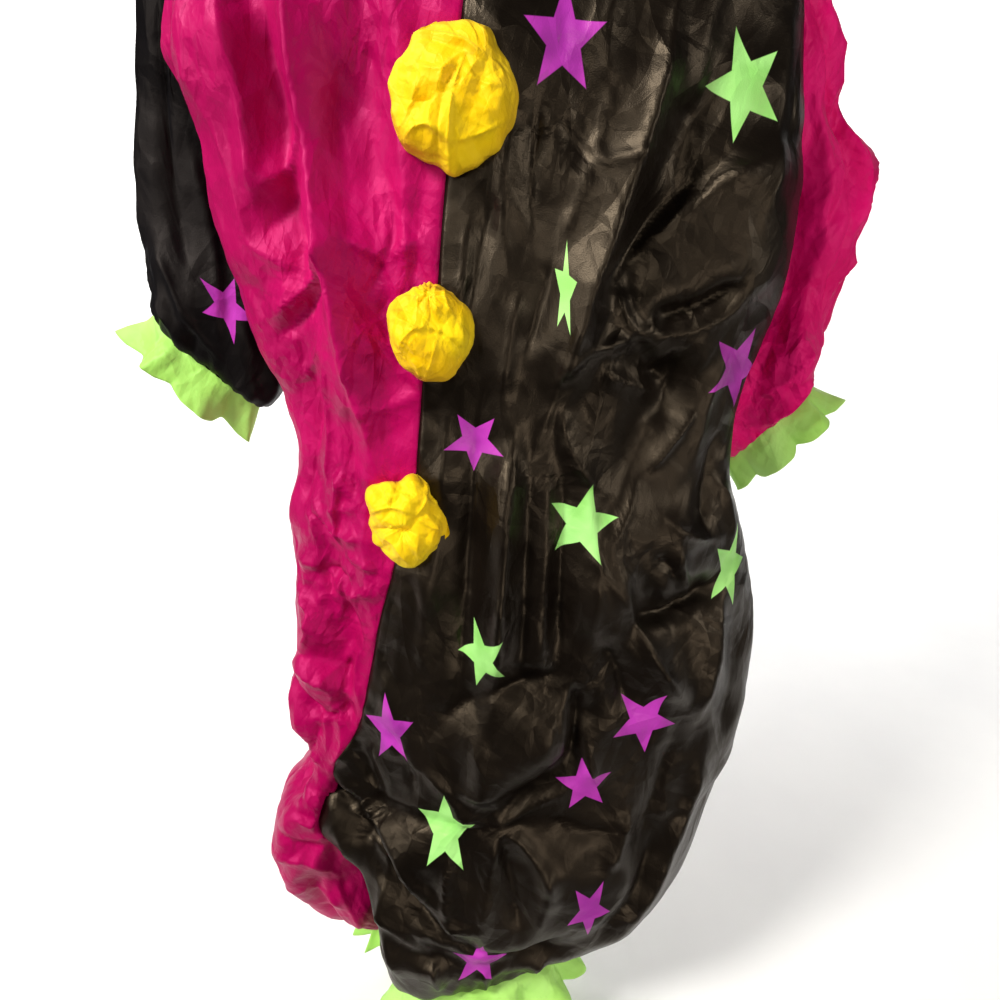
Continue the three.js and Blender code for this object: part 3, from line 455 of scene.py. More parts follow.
BACK_CREASES = creases(
    (-238, -280, -190, -480, -158, -760, 10, 7, 1.1, 0.3),
    (-150, -160, -122, -420, -112, -690, 10, -6, 1.3),
    (-90, -150, -84, -330, -96, -560, 11, 5, 1.4),
    (-262, -360, -226, -420, -190, -450, 9, 6, 1.1),
    (-250, -520, -206, -560, -168, -560, 9, -6, 1.1),
    (-120, -560, -92, -610, -80, -680, 8, 5),
    (-240, -760, -200, -800, -160, -800, 9, 6),
    (-230, -860, -190, -880, -150, -930, 9, 7),
    (-262, -960, -226, -970, -190, -1010, 9, -6, 1.1),
    (-280, -1130, -250, -1180, -200, -1220, 10, 7, 1.1),
    (-290, -1240, -246, -1250, -200, -1310, 10, 6, 1.1),
    (62, -150, 36, -420, 16, -710, 9, 8, 1.1, 0.3),
    (0, -170, -8, -380, -30, -600, 11, -6, 1.3),
    (120, -170, 116, -340, 124, -560, 12, 6, 1.3),
    (210, -320, 196, -560, 240, -810, 10, 7, 1.1, -0.3),
    (170, -300, 130, -360, 96, -380, 9, 6, 1.1),
    (256, -430, 214, -470, 170, -470, 9, -6, 1.1),
    (226, -600, 180, -640, 140, -640, 9, 6, 1.1),
    (60, -560, 46, -640, 50, -760, 9, 7, 1.1),
    (88, -600, 84, -700, 96, -800, 9, -7, 1.2),
    (-20, -700, -30, -800, -50, -940, 9, 7, 1.1),
    (10, -720, 8, -800, 0, -900, 9, -6, 1.2),
    (120, -820, 170, -880, 240, -900, 9, 8, 1.1, 0.3),
    (-60, -900, 20, -930, 110, -900, 14, 8, 1.3),
    (180, -940, 210, -1020, 200, -1110, 12, 6, 1.2),
    (20, -1010, 30, -1100, 0, -1200, 10, 7, 1.1),
    (80, -1040, 96, -1140, 90, -1240, 10, -7, 1.2),
    (-200, -1080, -130, -1140, -60, -1250, 10, 8, 1.1, 0.2),
    (-210, -1120, -150, -1190, -90, -1290, 9, -7, 1.2),
    (250, -1040, 220, -1150, 160, -1270, 13, 7, 1.3),
)
CREASES = {Face.FRONT: FRONT_CREASES, Face.BACK: BACK_CREASES}

# Where the cloth is crumpled more or less than elsewhere: a place, a radius and a strength.
CALM = Table(
    "x z radius strength",
    (215, -390, 90, -0.65),
    (0, -680, 80, -0.55),
    (0, -820, 80, -0.55),
    (250, -230, 80, -0.45),
    (110, -960, 60, -0.35),
    (-100, -250, 60, -0.3),
    (-110, -480, 50, -0.25),
    (240, -1000, 80, -0.4),
    (90, -1190, 60, -0.35),
    (-200, -780, 90, 0.6),
    (-215, -960, 80, 0.7),
    (-240, -1130, 60, 0.15),
    (-200, -1090, 60, 0.5),
    (170, -560, 70, 0.35),
    (190, -760, 80, 0.5),
    (60, -330, 60, 0.3),
    (-10, -1090, 60, 0.3),
)


# Small helpers


def smooth(value: np.ndarray, low: float, high: float) -> np.ndarray:
    """A smooth step from 0 at low to 1 at high."""
    t = np.clip((np.asarray(value, float) - low) / (high - low), 0.0, 1.0)
    return t * t * (3 - 2 * t)


def unit(vectors: np.ndarray) -> np.ndarray:
    """Vectors at length 1."""
    return vectors / np.maximum(np.linalg.norm(vectors, axis=-1, keepdims=True), 1e-9)


def joined(*parts: np.ndarray) -> np.ndarray:
    """Coordinates of points, from one array for each axis."""
    return np.stack(np.broadcast_arrays(*parts), axis=-1)


def along(points: np.ndarray, axis: int = 0) -> np.ndarray:
    """The length along lines of points, from 0 at their first point."""
    steps = np.linalg.norm(np.diff(points, axis=axis), axis=-1)
    start = np.zeros_like(np.take(steps, [0], axis=axis))
    return np.cumsum(np.concatenate([start, steps], axis=axis), axis=axis)


def bezier(start: np.ndarray, via: np.ndarray, end: np.ndarray, count: int) -> np.ndarray:
    """Points on a curve that passes through its middle point."""
    t = np.linspace(0, 1, count)[:, None]
    handle = 2 * via - (start + end) / 2
    return (1 - t) ** 2 * start + 2 * t * (1 - t) * handle + t**2 * end


# Folds and crumple


FOLD_POINTS = ("from", "via", "to")
FOLD_RUNS = 8  # the straight runs of a curved fold
FOLD_REACH = 4  # how far beside itself it is felt, by its half width


def fold_depth(table: Table, x: np.ndarray, z: np.ndarray, straight: bool = False) -> np.ndarray:
    """The sum of a table's folds at places seen from the front.

    Args:
        table: The folds' rows.
        x: Where across, in millimetres.
        z: Where up, in millimetres.
        straight: Whether a fold is two straight runs, as in the solids, or one curve.

    Returns:
        How far out the cloth moves, in millimetres.
    """
    total = np.zeros_like(x)
    for fold in table.items():
        start, via, end = (np.array([fold[f"{at}X"], fold[f"{at}Z"]]) for at in FOLD_POINTS)
        line = np.array([start, via, end]) if straight else bezier(start, via, end, FOLD_RUNS + 1)
        reach = FOLD_REACH * fold["width"]
        low, high = line.min(axis=0) - reach, line.max(axis=0) + reach
        near = (x > low[0]) & (x < high[0]) & (z > low[1]) & (z < high[1])
        if near.any():
            total[near] += one_fold(fold, line, joined(x[near], z[near]))
    return total


def one_fold(fold: dict[str, float], line: np.ndarray, points: np.ndarray) -> np.ndarray:
    """One fold's share of the depth.

    Args:
        fold: The fold's row.
        line: The points that it runs through, in millimetres.
        points: Places across and up, in millimetres.

    Returns:
        How far out it moves the cloth at each, in millimetres.
    """
    best = np.full(len(points), np.inf)
    share, beside = np.zeros(len(points)), np.zeros(len(points))
    runs = len(line) - 1
    for i in range(runs):
        step = line[i + 1] - line[i]
        t = np.clip((points - line[i]) @ step / (step @ step), 0, 1)
        off = points - line[i] - t[:, None] * step
        distance = np.hypot(off[:, 0], off[:, 1])
        closer = distance < best
        best[closer] = distance[closer]
        share[closer] = (i + t[closer]) / runs
        turned = step[0] * off[:, 1] - step[1] * off[:, 0]
        beside[closer] = np.sign(turned[closer])
    width = fold["width"] * (1 + fold.get("lean", 0.0) * beside)
    ends = smooth(share, 0, 0.25) * smooth(1 - share, 0, 0.25)
    profile = np.exp(-((best / width) ** fold.get("edge", 2.0)))
    return fold["depth"] * (0.25 + 0.75 * ends) * profile


# A crumple's heights are taken by the number that these primes give to each corner in space.
CRUMPLE_HEIGHTS = 4096
CRUMPLE_PRIMES = np.array([73856093, 19349663, 83492791])


@dataclass(frozen=True)
class Crumple:
    """A crumple of flat facets between straight, crisp creases, the same on both sides of a seam.

    Attributes:
        cell: The facets' usual size in millimetres.
        tall: How much longer they are up and down.
        depth: How far they move the cloth, in millimetres.
        seed: Chooses one crumple.
    """

    cell: float
    tall: float
    depth: float
    seed: int

    def height(self, points: np.ndarray) -> np.ndarray:
        """The crumple's height at points in space, which is linear in each of its tetrahedra.

        Args:
            points: Points in millimetres, in any shape that ends in 3.

        Returns:
            The height at each, in millimetres.
        """
        rng = np.random.default_rng(self.seed)
        heights = rng.uniform(-1, 1, CRUMPLE_HEIGHTS)
        turn = np.linalg.qr(rng.normal(size=(3, 3)))[0]
        place = points.reshape(-1, 3) / (self.cell * np.array([1, 1, self.tall]))
        warp = [
            np.sin(1.7 * place[:, (i + 1) % 3] + i + self.seed)
            + 0.7 * np.sin(2.9 * place[:, (i + 2) % 3] + 2.0 * i)
            for i in range(3)
        ]
        place = (place + 0.2 * joined(*warp)) @ turn
        base = np.floor(place).astype(np.int64)
        part = place - base
        order = np.argsort(-part, axis=1)
        part = np.take_along_axis(part, order, axis=1)
        bounds = np.column_stack([np.ones(len(part)), part, np.zeros(len(part))])
        shares = (bounds[:, :-1] - bounds[:, 1:]).T
        corner = base.copy()
        total = np.zeros(len(place))
        for i, share in enumerate(shares):
            if i:
                corner[np.arange(len(place)), order[:, i - 1]] += 1
            number = (corner @ CRUMPLE_PRIMES) & (CRUMPLE_HEIGHTS - 1)
            total += share * heights[number]
        return (self.depth * total).reshape(points.shape[:-1])


CRUMPLES = (Crumple(92, 2.2, 15.0, 5), Crumple(47, 1.9, 8.0, 11), Crumple(24, 1.5, 2.4, 23))


def crumpled(points: np.ndarray, fine: np.ndarray | float = 1.0) -> np.ndarray:
    """The large crumple at points and a share of the finer ones, in millimetres."""
    large, *finer = CRUMPLES
    return large.height(points) + fine * sum(crumple.height(points) for crumple in finer)


# The body's form

# All in millimetres but LEG_PART.
LEG_CLEAR = 10.0  # how far the right leg hangs behind the left one
LEG_PART = 0.35  # and how soon below their parting it does
LEGS_PART_AT = -1095.0
HEM_LIFT = 14.0  # how far the left leg's hem is drawn up, between two depths
HEM_RISES_FROM, HEM_RISES_TO = 1240, 1380
HEM_TUCK = 18.0  # how much cloth the tuck at a hem takes
SLEEVE_CLEAR = 7.0  # how far a sleeve hangs behind the body
SEAM_EASE = 0.15  # how far a panel's edge stays from its seam
PLUMB_LINES = {Side.RIGHT: -200.0, Side.LEFT: 60.0}  # where flat cloth is measured from
COLOURS = {Side.RIGHT: "magenta", Side.LEFT: "black"}


class BodyForm:
    """The body's sections from neck to ankle, without folds."""

    COLUMNS = (
        "level frontX frontY backX backY sideX sideY front back frontWrap backWrap drop"
    )

    def __init__(self) -> None:
        """Works out both halves' sections from the tables."""
        self.halves = {side: Table(self.COLUMNS, *self._rows(side)) for side in Side}
        self.shared = len(TRUNK) + len(CROTCH)

    def _rows(self, side: Side) -> list[list[float]]:
        """One half's rows, in columns that trunk, crotch and leg share.

        Args:
            side: Which half.

        Returns:
            The rows from the neck to the ankle.
        """
        name = side.name.lower()
        rows = []
        for row in TRUNK.items():
            centre = (row["left"] + row["right"]) / 2
            reach = row[name] - centre
            wraps = [math.acos((row[x] - centre) / reach) for x in ("frontX", "backX")]
            front, back = row["front"], row["back"]
            seams_y = [-front * math.sin(wraps[0]), back * math.sin(wraps[1])]
            seams = [row["frontX"], seams_y[0], row["backX"], seams_y[1]]
            rows.append([row["level"], *seams, row[name], 0.0, front, back, *wraps, 0.0])
        for row in CROTCH.items():
            wrap = math.radians(row["wrapLeft" if side is Side.LEFT else "wrapRight"])
            inner = [row[key] for key in ("frontX", "frontY", "backX", "backY")]
            depths = [row[f"{name}Front"], row[f"{name}Back"]]
            rows.append([row["level"], *inner, row[name], 0.0, *depths, wrap, wrap, 0.0])
        for row in LEGS[side].items():
            inner = [row["innerX"], row["innerY"]]
            outer = [row["outerX"], row["outerY"]]
            shape = [row["front"], row["back"], math.pi, math.pi, row["drop"]]
            rows.append([row["level"], *inner, *inner, *outer, *shape])
        return rows

    def places(self, side: Side, spacing: float) -> np.ndarray:
        """Fractional rows at about even steps down one half, the same above the crotch.

        Args:
            side: Which half.
            spacing: The steps in millimetres.

        Returns:
            The fractional rows.
        """
        levels = self.halves[side].column("level")
        places = []
        for i in range(len(levels) - 1):
            tail = HEM_TUCK if i == len(levels) - 2 else 0.0
            steps = 2 * max(1, round(max(levels[i] - levels[i + 1], tail) / spacing / 2))
            places.extend(i + np.arange(steps) / steps)
        return np.array([*places, len(levels) - 1])

    def section(self, side: Side, face: Face, places: np.ndarray, across: np.ndarray) -> Grid:
        """Points of one panel's form, from the inner seam to the side seam.

        Args:
            side: Which half of the body.
            face: Its front or its back panel.
            places: Fractional rows.
            across: From 0 at the inner seam to 1 at the side seam.

        Returns:
            A grid of points in millimetres.
        """
        row = {name: value[:, None] for name, value in self.halves[side].at(places).items()}
        name = face.name.lower()
        wrap = row[f"{name}Wrap"]
        inner_x, inner_y = row[f"{name}X"], row[f"{name}Y"]
        depth = face.value * row[name]
        turn = wrap * (1 - across)
        reach = (row["sideX"] - inner_x) / (1 - np.cos(wrap))
        ease = (inner_y - row["sideY"] - depth * np.sin(wrap)) * (1 - across) ** 2
        x = row["sideX"] - reach * (1 - np.cos(turn))
        y = row["sideY"] + depth * np.sin(turn) + ease
        z = row["level"] - row["drop"] * (1 - across)
        return joined(x, y, z)

    def behind_left_leg(self, x: np.ndarray, level: np.ndarray) -> np.ndarray:
        """How far back the left leg reaches, with a steep slope beside it.

        Args:
            x: Where across, in millimetres.
            level: Where up, in millimetres.

        Returns:
            The Y of the leg's back, in millimetres.
        """
        table = self.halves[Side.LEFT]
        row = table.at(table.place_of_level(level))
        half = (row["sideX"] - row["frontX"]) / 2
        across = (x - row["frontX"] - half) / half
        turn = np.arccos(np.clip(across, -1, 1))
        ease = (row["frontY"] - row["sideY"]) * (turn / np.pi) ** 2
        back = row["sideY"] + row["back"] * np.sin(turn) + ease
        return np.where(across < -1, row["frontY"] - (-1 - across) * half * 4, back)

    def trunk_ovals(self, level: np.ndarray) -> tuple[np.ndarray, ...]:
        """The trunk's middle, half width, front depth and back depth at a level."""
        row = TRUNK.at(TRUNK.place_of_level(level))
        middle = (row["left"] + row["right"]) / 2
        return middle, row["left"] - middle, row["front"], row["back"]

    def behind_body(self, x: np.ndarray, level: np.ndarray) -> np.ndarray:
        """The body's back beside an arm, with a steep slope past its side.

        Args:
            x: Where across, in millimetres.
            level: Where up, in millimetres.

        Returns:
            The Y of the body's back, in millimetres.
        """
        middle, reach, _, back = self.trunk_ovals(level)
        across = np.abs(x - middle) / reach
        inside = back * np.sqrt(np.clip(1 - across**2, 0, 1))
        return np.where(across > 1, -(across - 1) * reach * 3, inside)

    def inside_trunk(self, points: np.ndarray) -> np.ndarray:
        """Below 1 where points are inside the trunk."""
        middle, reach, front, back = self.trunk_ovals(points[..., 2])
        depth = np.where(points[..., 1] < 0, front, back)
        return ((points[..., 0] - middle) / reach) ** 2 + (points[..., 1] / depth) ** 2


def grid_normals(grid: Grid, closed: bool = False) -> np.ndarray:
    """Normals of a grid, by its neighbours: along its columns crossed with down its rows."""
    if closed:
        across = np.roll(grid, -1, axis=1) - np.roll(grid, 1, axis=1)
    else:
        across = np.gradient(grid, axis=1)
    return unit(np.cross(across, np.gradient(grid, axis=0)))


# Sheets of cloth


@dataclass(frozen=True)
class Cut:
    """The flat cut of a sheet.

    Attributes:
        width: Across the cut, in metres.
        length: Along the cut, in metres.
        area: The cut's flat area in square metres, or None for a rectangle; not used.
        held: How the sheet is held; not used.
    """

    width: float
    length: float
    area: float | None = None
    held: Held = Held.HUNG


@dataclass
class Sheet:
    """A piece of cloth: a grid of points with its flat coordinates.

    Attributes:
        name: The piece's name.
        node: The CAD node that it stands for.
        slot: The record's material slot; not used.
        grid: Its points in millimetres.
        flat: Flat coordinates of each point, in metres.
        closed: Whether its rows run all round.
        keep: Which faces are kept, or None for all.
        thick: The cloth's thickness in millimetres.
    """

    name: str
    node: str
    slot: str
    grid: Grid
    flat: np.ndarray
    closed: bool = False
    keep: np.ndarray | None = None
    thick: float = 0.9

    def build(self, material: bpy.types.Material, cut: Cut) -> None:
        """Args:
            material: Its finish.
            cut: Its flat cut; not used.
        """
        piece = self.lay(material)
        tidy_mesh(piece)
        if self.thick:
            solidify(piece, self.thick)
        self.declare(piece)

    def lay(self, material: bpy.types.Material) -> bpy.types.Object:
        """Makes a smooth mesh of the grid, with its flat coordinates as the UV map Flat.

        Args:
            material: Its finish.

        Returns:
            The piece, still without a thickness.
        """
        rows, columns = self.grid.shape[:2]
        strips = columns if self.closed else columns - 1
        i, j = np.meshgrid(np.arange(rows - 1), np.arange(strips), indexing="ij")
        after = (j + 1) % columns
        corners = [i * columns + j, (i + 1) * columns + j]
        corners += [(i + 1) * columns + after, i * columns + after]
        faces = np.stack(corners, axis=-1)
        uv = self.flat.reshape(-1, 2)[faces]
        if self.closed:
            u = self.flat[..., 0]
            girth = u[:, -1] + (u[:, -1] - u[:, -2]) - u[:, 0]
            uv[:, -1, 2, 0] += girth[1:]
            uv[:, -1, 3, 0] += girth[:-1]
        if self.keep is not None:
            faces, uv = faces[self.keep], uv[self.keep]
        data = bpy.data.meshes.new(self.name)
        points = self.grid.reshape(-1, 3) * MM
        data.from_pydata(points.tolist(), [], faces.reshape(-1, 4).tolist())
        data.uv_layers.new(name="Flat").data.foreach_set("uv", uv.astype(np.float32).ravel())
        data.polygons.foreach_set("use_smooth", np.ones(len(data.polygons), bool))
        data.materials.append(material)
        data.update()
        piece = bpy.data.objects.new(self.name, data)
        bpy.context.scene.collection.objects.link(piece)
        return piece

    def declare(self, piece: bpy.types.Object) -> None:
        """Lets the piece ride on the garment in place of its CAD solid and that solid's leg."""
        names = (self.node, f"{self.node}_leg")
        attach(piece, "root")
        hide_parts(*(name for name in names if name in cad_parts))
        log.info("%s: %d faces", piece.name, len(piece.data.polygons))


def tidy_mesh(piece: bpy.types.Object, all_round: bool = False) -> None:
    """Drops loose points and merges doubles.

    Args:
        piece: The piece.
        all_round: Whether it is a closed shape, whose faces are then turned outwards.
    """
    shape = bmesh.new()
    shape.from_mesh(piece.data)
    bmesh.ops.delete(shape, geom=[v for v in shape.verts if not v.link_faces], context="VERTS")
    bmesh.ops.remove_doubles(shape, verts=shape.verts, dist=1e-6)
    if all_round:
        bmesh.ops.dissolve_degenerate(shape, edges=shape.edges, dist=1e-7)
        bmesh.ops.recalc_face_normals(shape, faces=shape.faces)
    shape.to_mesh(piece.data)
    shape.free()
    piece.data.update()


def solidify(piece: bpy.types.Object, thick: float) -> None:
    """Gives a sheet its thickness, inwards.

    Args:
        piece: The sheet.
        thick: Its thickness in millimetres.
    """
    bpy.ops.object.select_all(action="DESELECT")
    piece.select_set(True)
    bpy.context.view_layer.objects.active = piece
    wall = piece.modifiers.new("Cloth thickness", "SOLIDIFY")
    wall.thickness = thick * MM
    wall.offset = -1.0
    bpy.ops.object.modifier_apply(modifier=wall.name)


# The body


@dataclass(frozen=True)
class Star:
    """A printed star.

    Attributes:
        colour: Its colour's name in STAR_COLOURS.
        x: Where its middle is seen across, in millimetres.
        z: Where its middle is seen up.
        wide: How wide it looks.
        high: How high it looks.
        turn: How it is turned, in degrees clockwise.
    """

    colour: str
    x: float
    z: float
    wide: float
    high: float
    turn: float = 0.0


Printed = tuple[Star, list[float], list[float]]  # a star, its centre and half its size, in metres

# A star's width and height by its radius, and how much longer than it looks the cloth may lie
# across and up.
STAR_WIDTH, STAR_HEIGHT = 1.9, 1.81
LONGEST_ACROSS, LONGEST_UP = 2.6, 2.0
BESIDE = 6  # the cloth is measured over so many of a grid's strips on each side


def printed_at(grid: Grid, flat: np.ndarray, star: Star) -> Printed:
    """Where a star lies on a sheet's flat cloth.

    Args:
        grid: The sheet's points in millimetres.
        flat: Their flat coordinates in metres.
        star: The star, as it is seen.

    Returns:
        The star, with its centre and half its size on the cloth, in metres.
    """
    away = np.hypot(grid[..., 0] - star.x, grid[..., 2] - star.z)
    row, column = np.unravel_index(away.argmin(), away.shape)
    rows = slice(max(row - BESIDE, 0), row + BESIDE + 1)
    columns = slice(max(column - BESIDE, 0), column + BESIDE + 1)
    u, v = flat[row, columns, 0], flat[rows, column, 1]
    wide = abs(u[-1] - u[0]) / abs(grid[row, columns, 0][-1] - grid[row, columns, 0][0])
    high = abs(v[-1] - v[0]) / abs(grid[rows, column, 2][-1] - grid[rows, column, 2][0])
    half_wide = star.wide / STAR_WIDTH * min(wide, LONGEST_ACROSS * MM)
    half_high = star.high / STAR_HEIGHT * min(high, LONGEST_UP * MM)
    return star, flat[row, column].tolist(), [half_wide, half_high]


@dataclass(frozen=True)
class PanelPlan:
    """One of the body's four panels.

    Attributes:
        side: Which half.
        face: Its front or its back.
        columns: Strips across.
        cut: The panel's flat cut.
    """

    side: Side
    face: Face
    columns: int
    cut: Cut

    @property
    def colour(self) -> str:
        """The cloth's colour."""
        return COLOURS[self.side]

    @property
    def name(self) -> str:
        """The CAD node that the panel stands for."""
        return f"{self.face.name.lower()}_{self.colour}"

    @property
    def turned(self) -> bool:
        """Whether its columns run the other way round for the faces to point outwards."""
        return self.side.value == self.face.value

    def normals(self, grid: Grid) -> np.ndarray:
        """The grid's outward normals."""
        return grid_normals(grid) * (1 if self.turned else -1)


PANELS = (
    PanelPlan(Side.RIGHT, Face.FRONT, 116, Cut(0.42, 1.45, 0.34)),
    PanelPlan(Side.LEFT, Face.FRONT, 132, Cut(0.66, 1.45, 0.66)),
    PanelPlan(Side.RIGHT, Face.BACK, 60, Cut(0.40, 1.45, 0.32)),
    PanelPlan(Side.LEFT, Face.BACK, 104, Cut(0.60, 1.45, 0.58)),
)


@dataclass(frozen=True)
class Crush:
    """How a half's cloth is crumpled away from its inner seam.

    Attributes:
        strength: What is added there to the crumple's strength.
        finer: What is added to the share of the finer facets.
        lower: What more is added to that share below the waist.
    """

    strength: float
    finer: float
    lower: float


# Both halves are crumpled alike at their seam, and nowhere less than the least strength.
SEAM_STRENGTH, SEAM_FINER, LEAST_STRENGTH = 0.9, 0.8, 0.15
CRUSH = {Side.RIGHT: Crush(0.1, 0.3, 0.35), Side.LEFT: Crush(-0.1, -0.35, 0.0)}


@dataclass
class Body:
    """The body's four panels, sewn together at shared edges. Its lengths are in millimetres.

    Attributes:
        form: The sections.
        spacing: The rows' spacing.
        crease_gain: How much deeper the creases are than their table says.
        side_calm: How far from the side seam the creases fade out.
        inseam_calm: How far from a leg's inner seam they do.
        crotch_calm: How far from the crotch the cloth is smooth.
        neck_calm: How far below the neckband it is.
        groove: How deep the seams' grooves are.
        pucker: How deep the puckers beside them are.
        gathers: Pleats round the neck and each ankle.
        gather_depth: How deep those pleats are.
        smooth_grids: Each panel's points without folds, by its name.
        grids: The same points with them.
    """

    form: BodyForm
    spacing: float = 4.2
    crease_gain: float = 1.5
    side_calm: float = 26.0
    inseam_calm: float = 20.0
    crotch_calm: float = 34.0
    neck_calm: float = 22.0
    groove: float = 1.6
    pucker: float = 0.9
    gathers: int = 34
    gather_depth: float = 3.0
    smooth_grids: dict[str, Grid] = field(default_factory=dict)
    grids: dict[str, Grid] = field(default_factory=dict)

    def lay(self) -> None:
        """Lays every panel's points, without folds and with them."""
        normals = {}
        for plan in PANELS:
            places = self.form.places(plan.side, self.spacing)
            across = np.linspace(0, 1, plan.columns + 1)
            grid = self.form.section(plan.side, plan.face, places, across)
            self.smooth_grids[plan.name] = grid
            normals[plan.name] = plan.normals(grid)
        self._sew(normals)
        for plan in PANELS:
            grid = self.smooth_grids[plan.name]
            moved = grid + self._depth(plan, grid)[..., None] * normals[plan.name]
            self.grids[plan.name] = self._ease_seams(self._hang_leg(plan.side, moved))

    def _sew(self, normals: dict[str, np.ndarray]) -> None:
        """Gives sewn edges the same normals.

        Args:
            normals: Each panel's normals by its name, which are changed in place.
        """

        def share(a: np.ndarray, b: np.ndarray) -> None:
            a[:] = b[:] = unit(a + b)

        for side, colour in COLOURS.items():
            front, back = normals[f"front_{colour}"], normals[f"back_{colour}"]
            share(front[:, -1], back[:, -1])
            leg = self.form.places(side, self.spacing) >= self.form.shared - 1
            front[leg, 0] = back[leg, 0] = unit(front[leg, 0] + back[leg, 0])
        places = self.form.places(Side.LEFT, self.spacing)
        trunk = int((places < self.form.shared - 1).sum())
        for face in ("front", "back"):
            share(normals[f"{face}_magenta"][:trunk, 0], normals[f"{face}_black"][:trunk, 0])

    def _depth(self, plan: PanelPlan, grid: Grid) -> np.ndarray:
        """How far each point of a panel moves along its normal.

        Args:
            plan: The panel.
            grid: Its points without folds.

        Returns:
            The depth at each point, in millimetres.
        """
        places = self.form.places(plan.side, self.spacing)[:, None]
        across = np.linspace(0, 1, plan.columns + 1)[None, :]
        x, z = grid[..., 0], grid[..., 2]
        inner = along(grid, axis=1)
        outer = inner[:, -1:] - inner
        on_leg = smooth(places, self.form.shared - 1, self.form.shared + 1)
        large = fold_depth(LARGE_FOLDS[plan.face], x, z, straight=True)
        large *= smooth(1 - across, 0, 0.3) * (1 - on_leg * (1 - smooth(across, 0, 0.2)))
        fine = fold_depth(CREASES[plan.face], x, z)
        near_edge = smooth(outer, 0, self.side_calm)
        near_edge *= 1 - on_leg * (1 - smooth(inner, 0, self.inseam_calm))
        bare = 1 - sum(
            np.exp(-(np.hypot(x - p.x, z - p.z) / (p.high * 0.85)) ** 4) for p in POMPONS
        ) * (plan.face is Face.FRONT)
        total = large + self.crease_gain * fine * near_edge * bare
        strength, finer = self._strength(plan, x, z, inner, outer)
        total += crumpled(grid, finer) * strength * (0.25 + 0.75 * bare)
        total += self._seam_pucker(inner, outer, z)
        fork = np.array([self.form.shared - 1.0])
        crotch = self.form.section(plan.side, plan.face, fork, np.zeros(1))
        total *= smooth(np.linalg.norm(grid - crotch, axis=-1), 0, self.crotch_calm)
        rows_left = len(self.form.halves[plan.side]) - 1 - places
        total *= smooth(-z, 0, self.neck_calm) * smooth(-rows_left, 0, -1.6)
        return total + self._gathers(grid, rows_left)

    def _strength(
        self, plan: PanelPlan, x: np.ndarray, z: np.ndarray, inner: np.ndarray, outer: np.ndarray
    ) -> tuple[np.ndarray, np.ndarray]:
        """How strongly the cloth is crumpled, and the share of the finer crumples.

        Args:
            plan: The panel.
            x: Where across, in millimetres.
            z: Where up.
            inner: How far each point is from the inner seam.
            outer: How far each point is from the side seam.

        Returns:
            The strength and the share, the same on both sides of a seam.
        """
        from_middle = smooth(inner, 0, 60)
        crush = CRUSH[plan.side]
        strength = SEAM_STRENGTH + crush.strength * from_middle
        strength *= 0.65 + 0.35 * smooth(outer, 0, 50)
        below_waist = smooth(-z, 600, 720)
        finer = SEAM_FINER + (crush.finer + crush.lower * below_waist) * from_middle
        if plan.face is Face.FRONT:
            from_seams = smooth(np.minimum(inner, outer), 0, 40)
            for spot in CALM.items():
                distance = np.hypot(x - spot["x"], z - spot["z"]) / spot["radius"]
                strength += spot["strength"] * np.exp(-(distance**2)) * from_seams
        return np.maximum(strength, LEAST_STRENGTH), finer

    def _seam_pucker(self, inner: np.ndarray, outer: np.ndarray, z: np.ndarray) -> np.ndarray:
        """The groove of each seam and the small puckers beside it.

        Args:
            inner: How far each point is from the inner seam.
            outer: How far each point is from the side seam.
            z: Where up.

        Returns:
            Their depth in millimetres.
        """
        ripple = np.sin(z / 3.6 + 1.7 * np.sin(z / 23)) * (0.6 + 0.4 * np.sin(z / 41 + 1))
        total = np.zeros_like(inner)
        for distance in (inner, outer):
            total -= self.groove * np.exp(-((distance / 3.2) ** 2))
            total += self.pucker * ripple * np.exp(-distance / 13) * smooth(distance, 0, 4)
        return total

    def _gathers(self, grid: Grid, rows_left: np.ndarray) -> np.ndarray:
        """Pleats where elastic gathers the neck and the ankles.

        Args:
            grid: A panel's points.
            rows_left: How many of the half's rows are left below each of them.

        Returns:
            Their depth in millimetres.
        """
        middle = grid.mean(axis=1, keepdims=True)
        angle = np.arctan2(grid[..., 1] - 0.2 * middle[..., 1], grid[..., 0] - middle[..., 0])
        around = np.arctan2(grid[..., 1], grid[..., 0])
        neck = np.sin(self.gathers * around + 2 * np.sin(3 * around))
        neck = neck * np.exp(grid[..., 2] / 24) * smooth(-grid[..., 2], 4, 16)
        hem = np.sin(self.gathers * 0.8 * angle + 2 * np.sin(4 * angle))
        hem = hem * np.exp(-rows_left / 1.3) * smooth(rows_left, 0.2, 1.4)
        return self.gather_depth * (neck + 1.3 * hem)

    def _hang_leg(self, side: Side, grid: Grid) -> Grid:
        """Keeps the right leg behind the left one, whose hem is drawn up a little.

        Args:
            side: Which leg.
            grid: Its points.

        Returns:
            The points where they hang.
        """
        out = grid.copy()
        x, y, level = (grid[..., axis] for axis in range(3))
        if side is Side.LEFT:
            out[..., 2] += HEM_LIFT * smooth(-level, HEM_RISES_FROM, HEM_RISES_TO)
            return out
        below = LEGS_PART_AT - level
        clear = np.minimum(LEG_CLEAR, 2 + LEG_PART * below)
        behind = self.form.behind_left_leg(x, level) + clear
        out[..., 1] = np.where(below > 0, np.maximum(y, behind), y)
        return out

    @staticmethod
    def _ease_seams(grid: Grid) -> Grid:
        """Moves a panel's edges in from its seams by half of their gap."""
        out = grid.copy()
        for edge, after in ((0, 1), (-1, -2)):
            out[:, edge] += SEAM_EASE * unit(grid[:, after] - grid[:, edge])
        return out

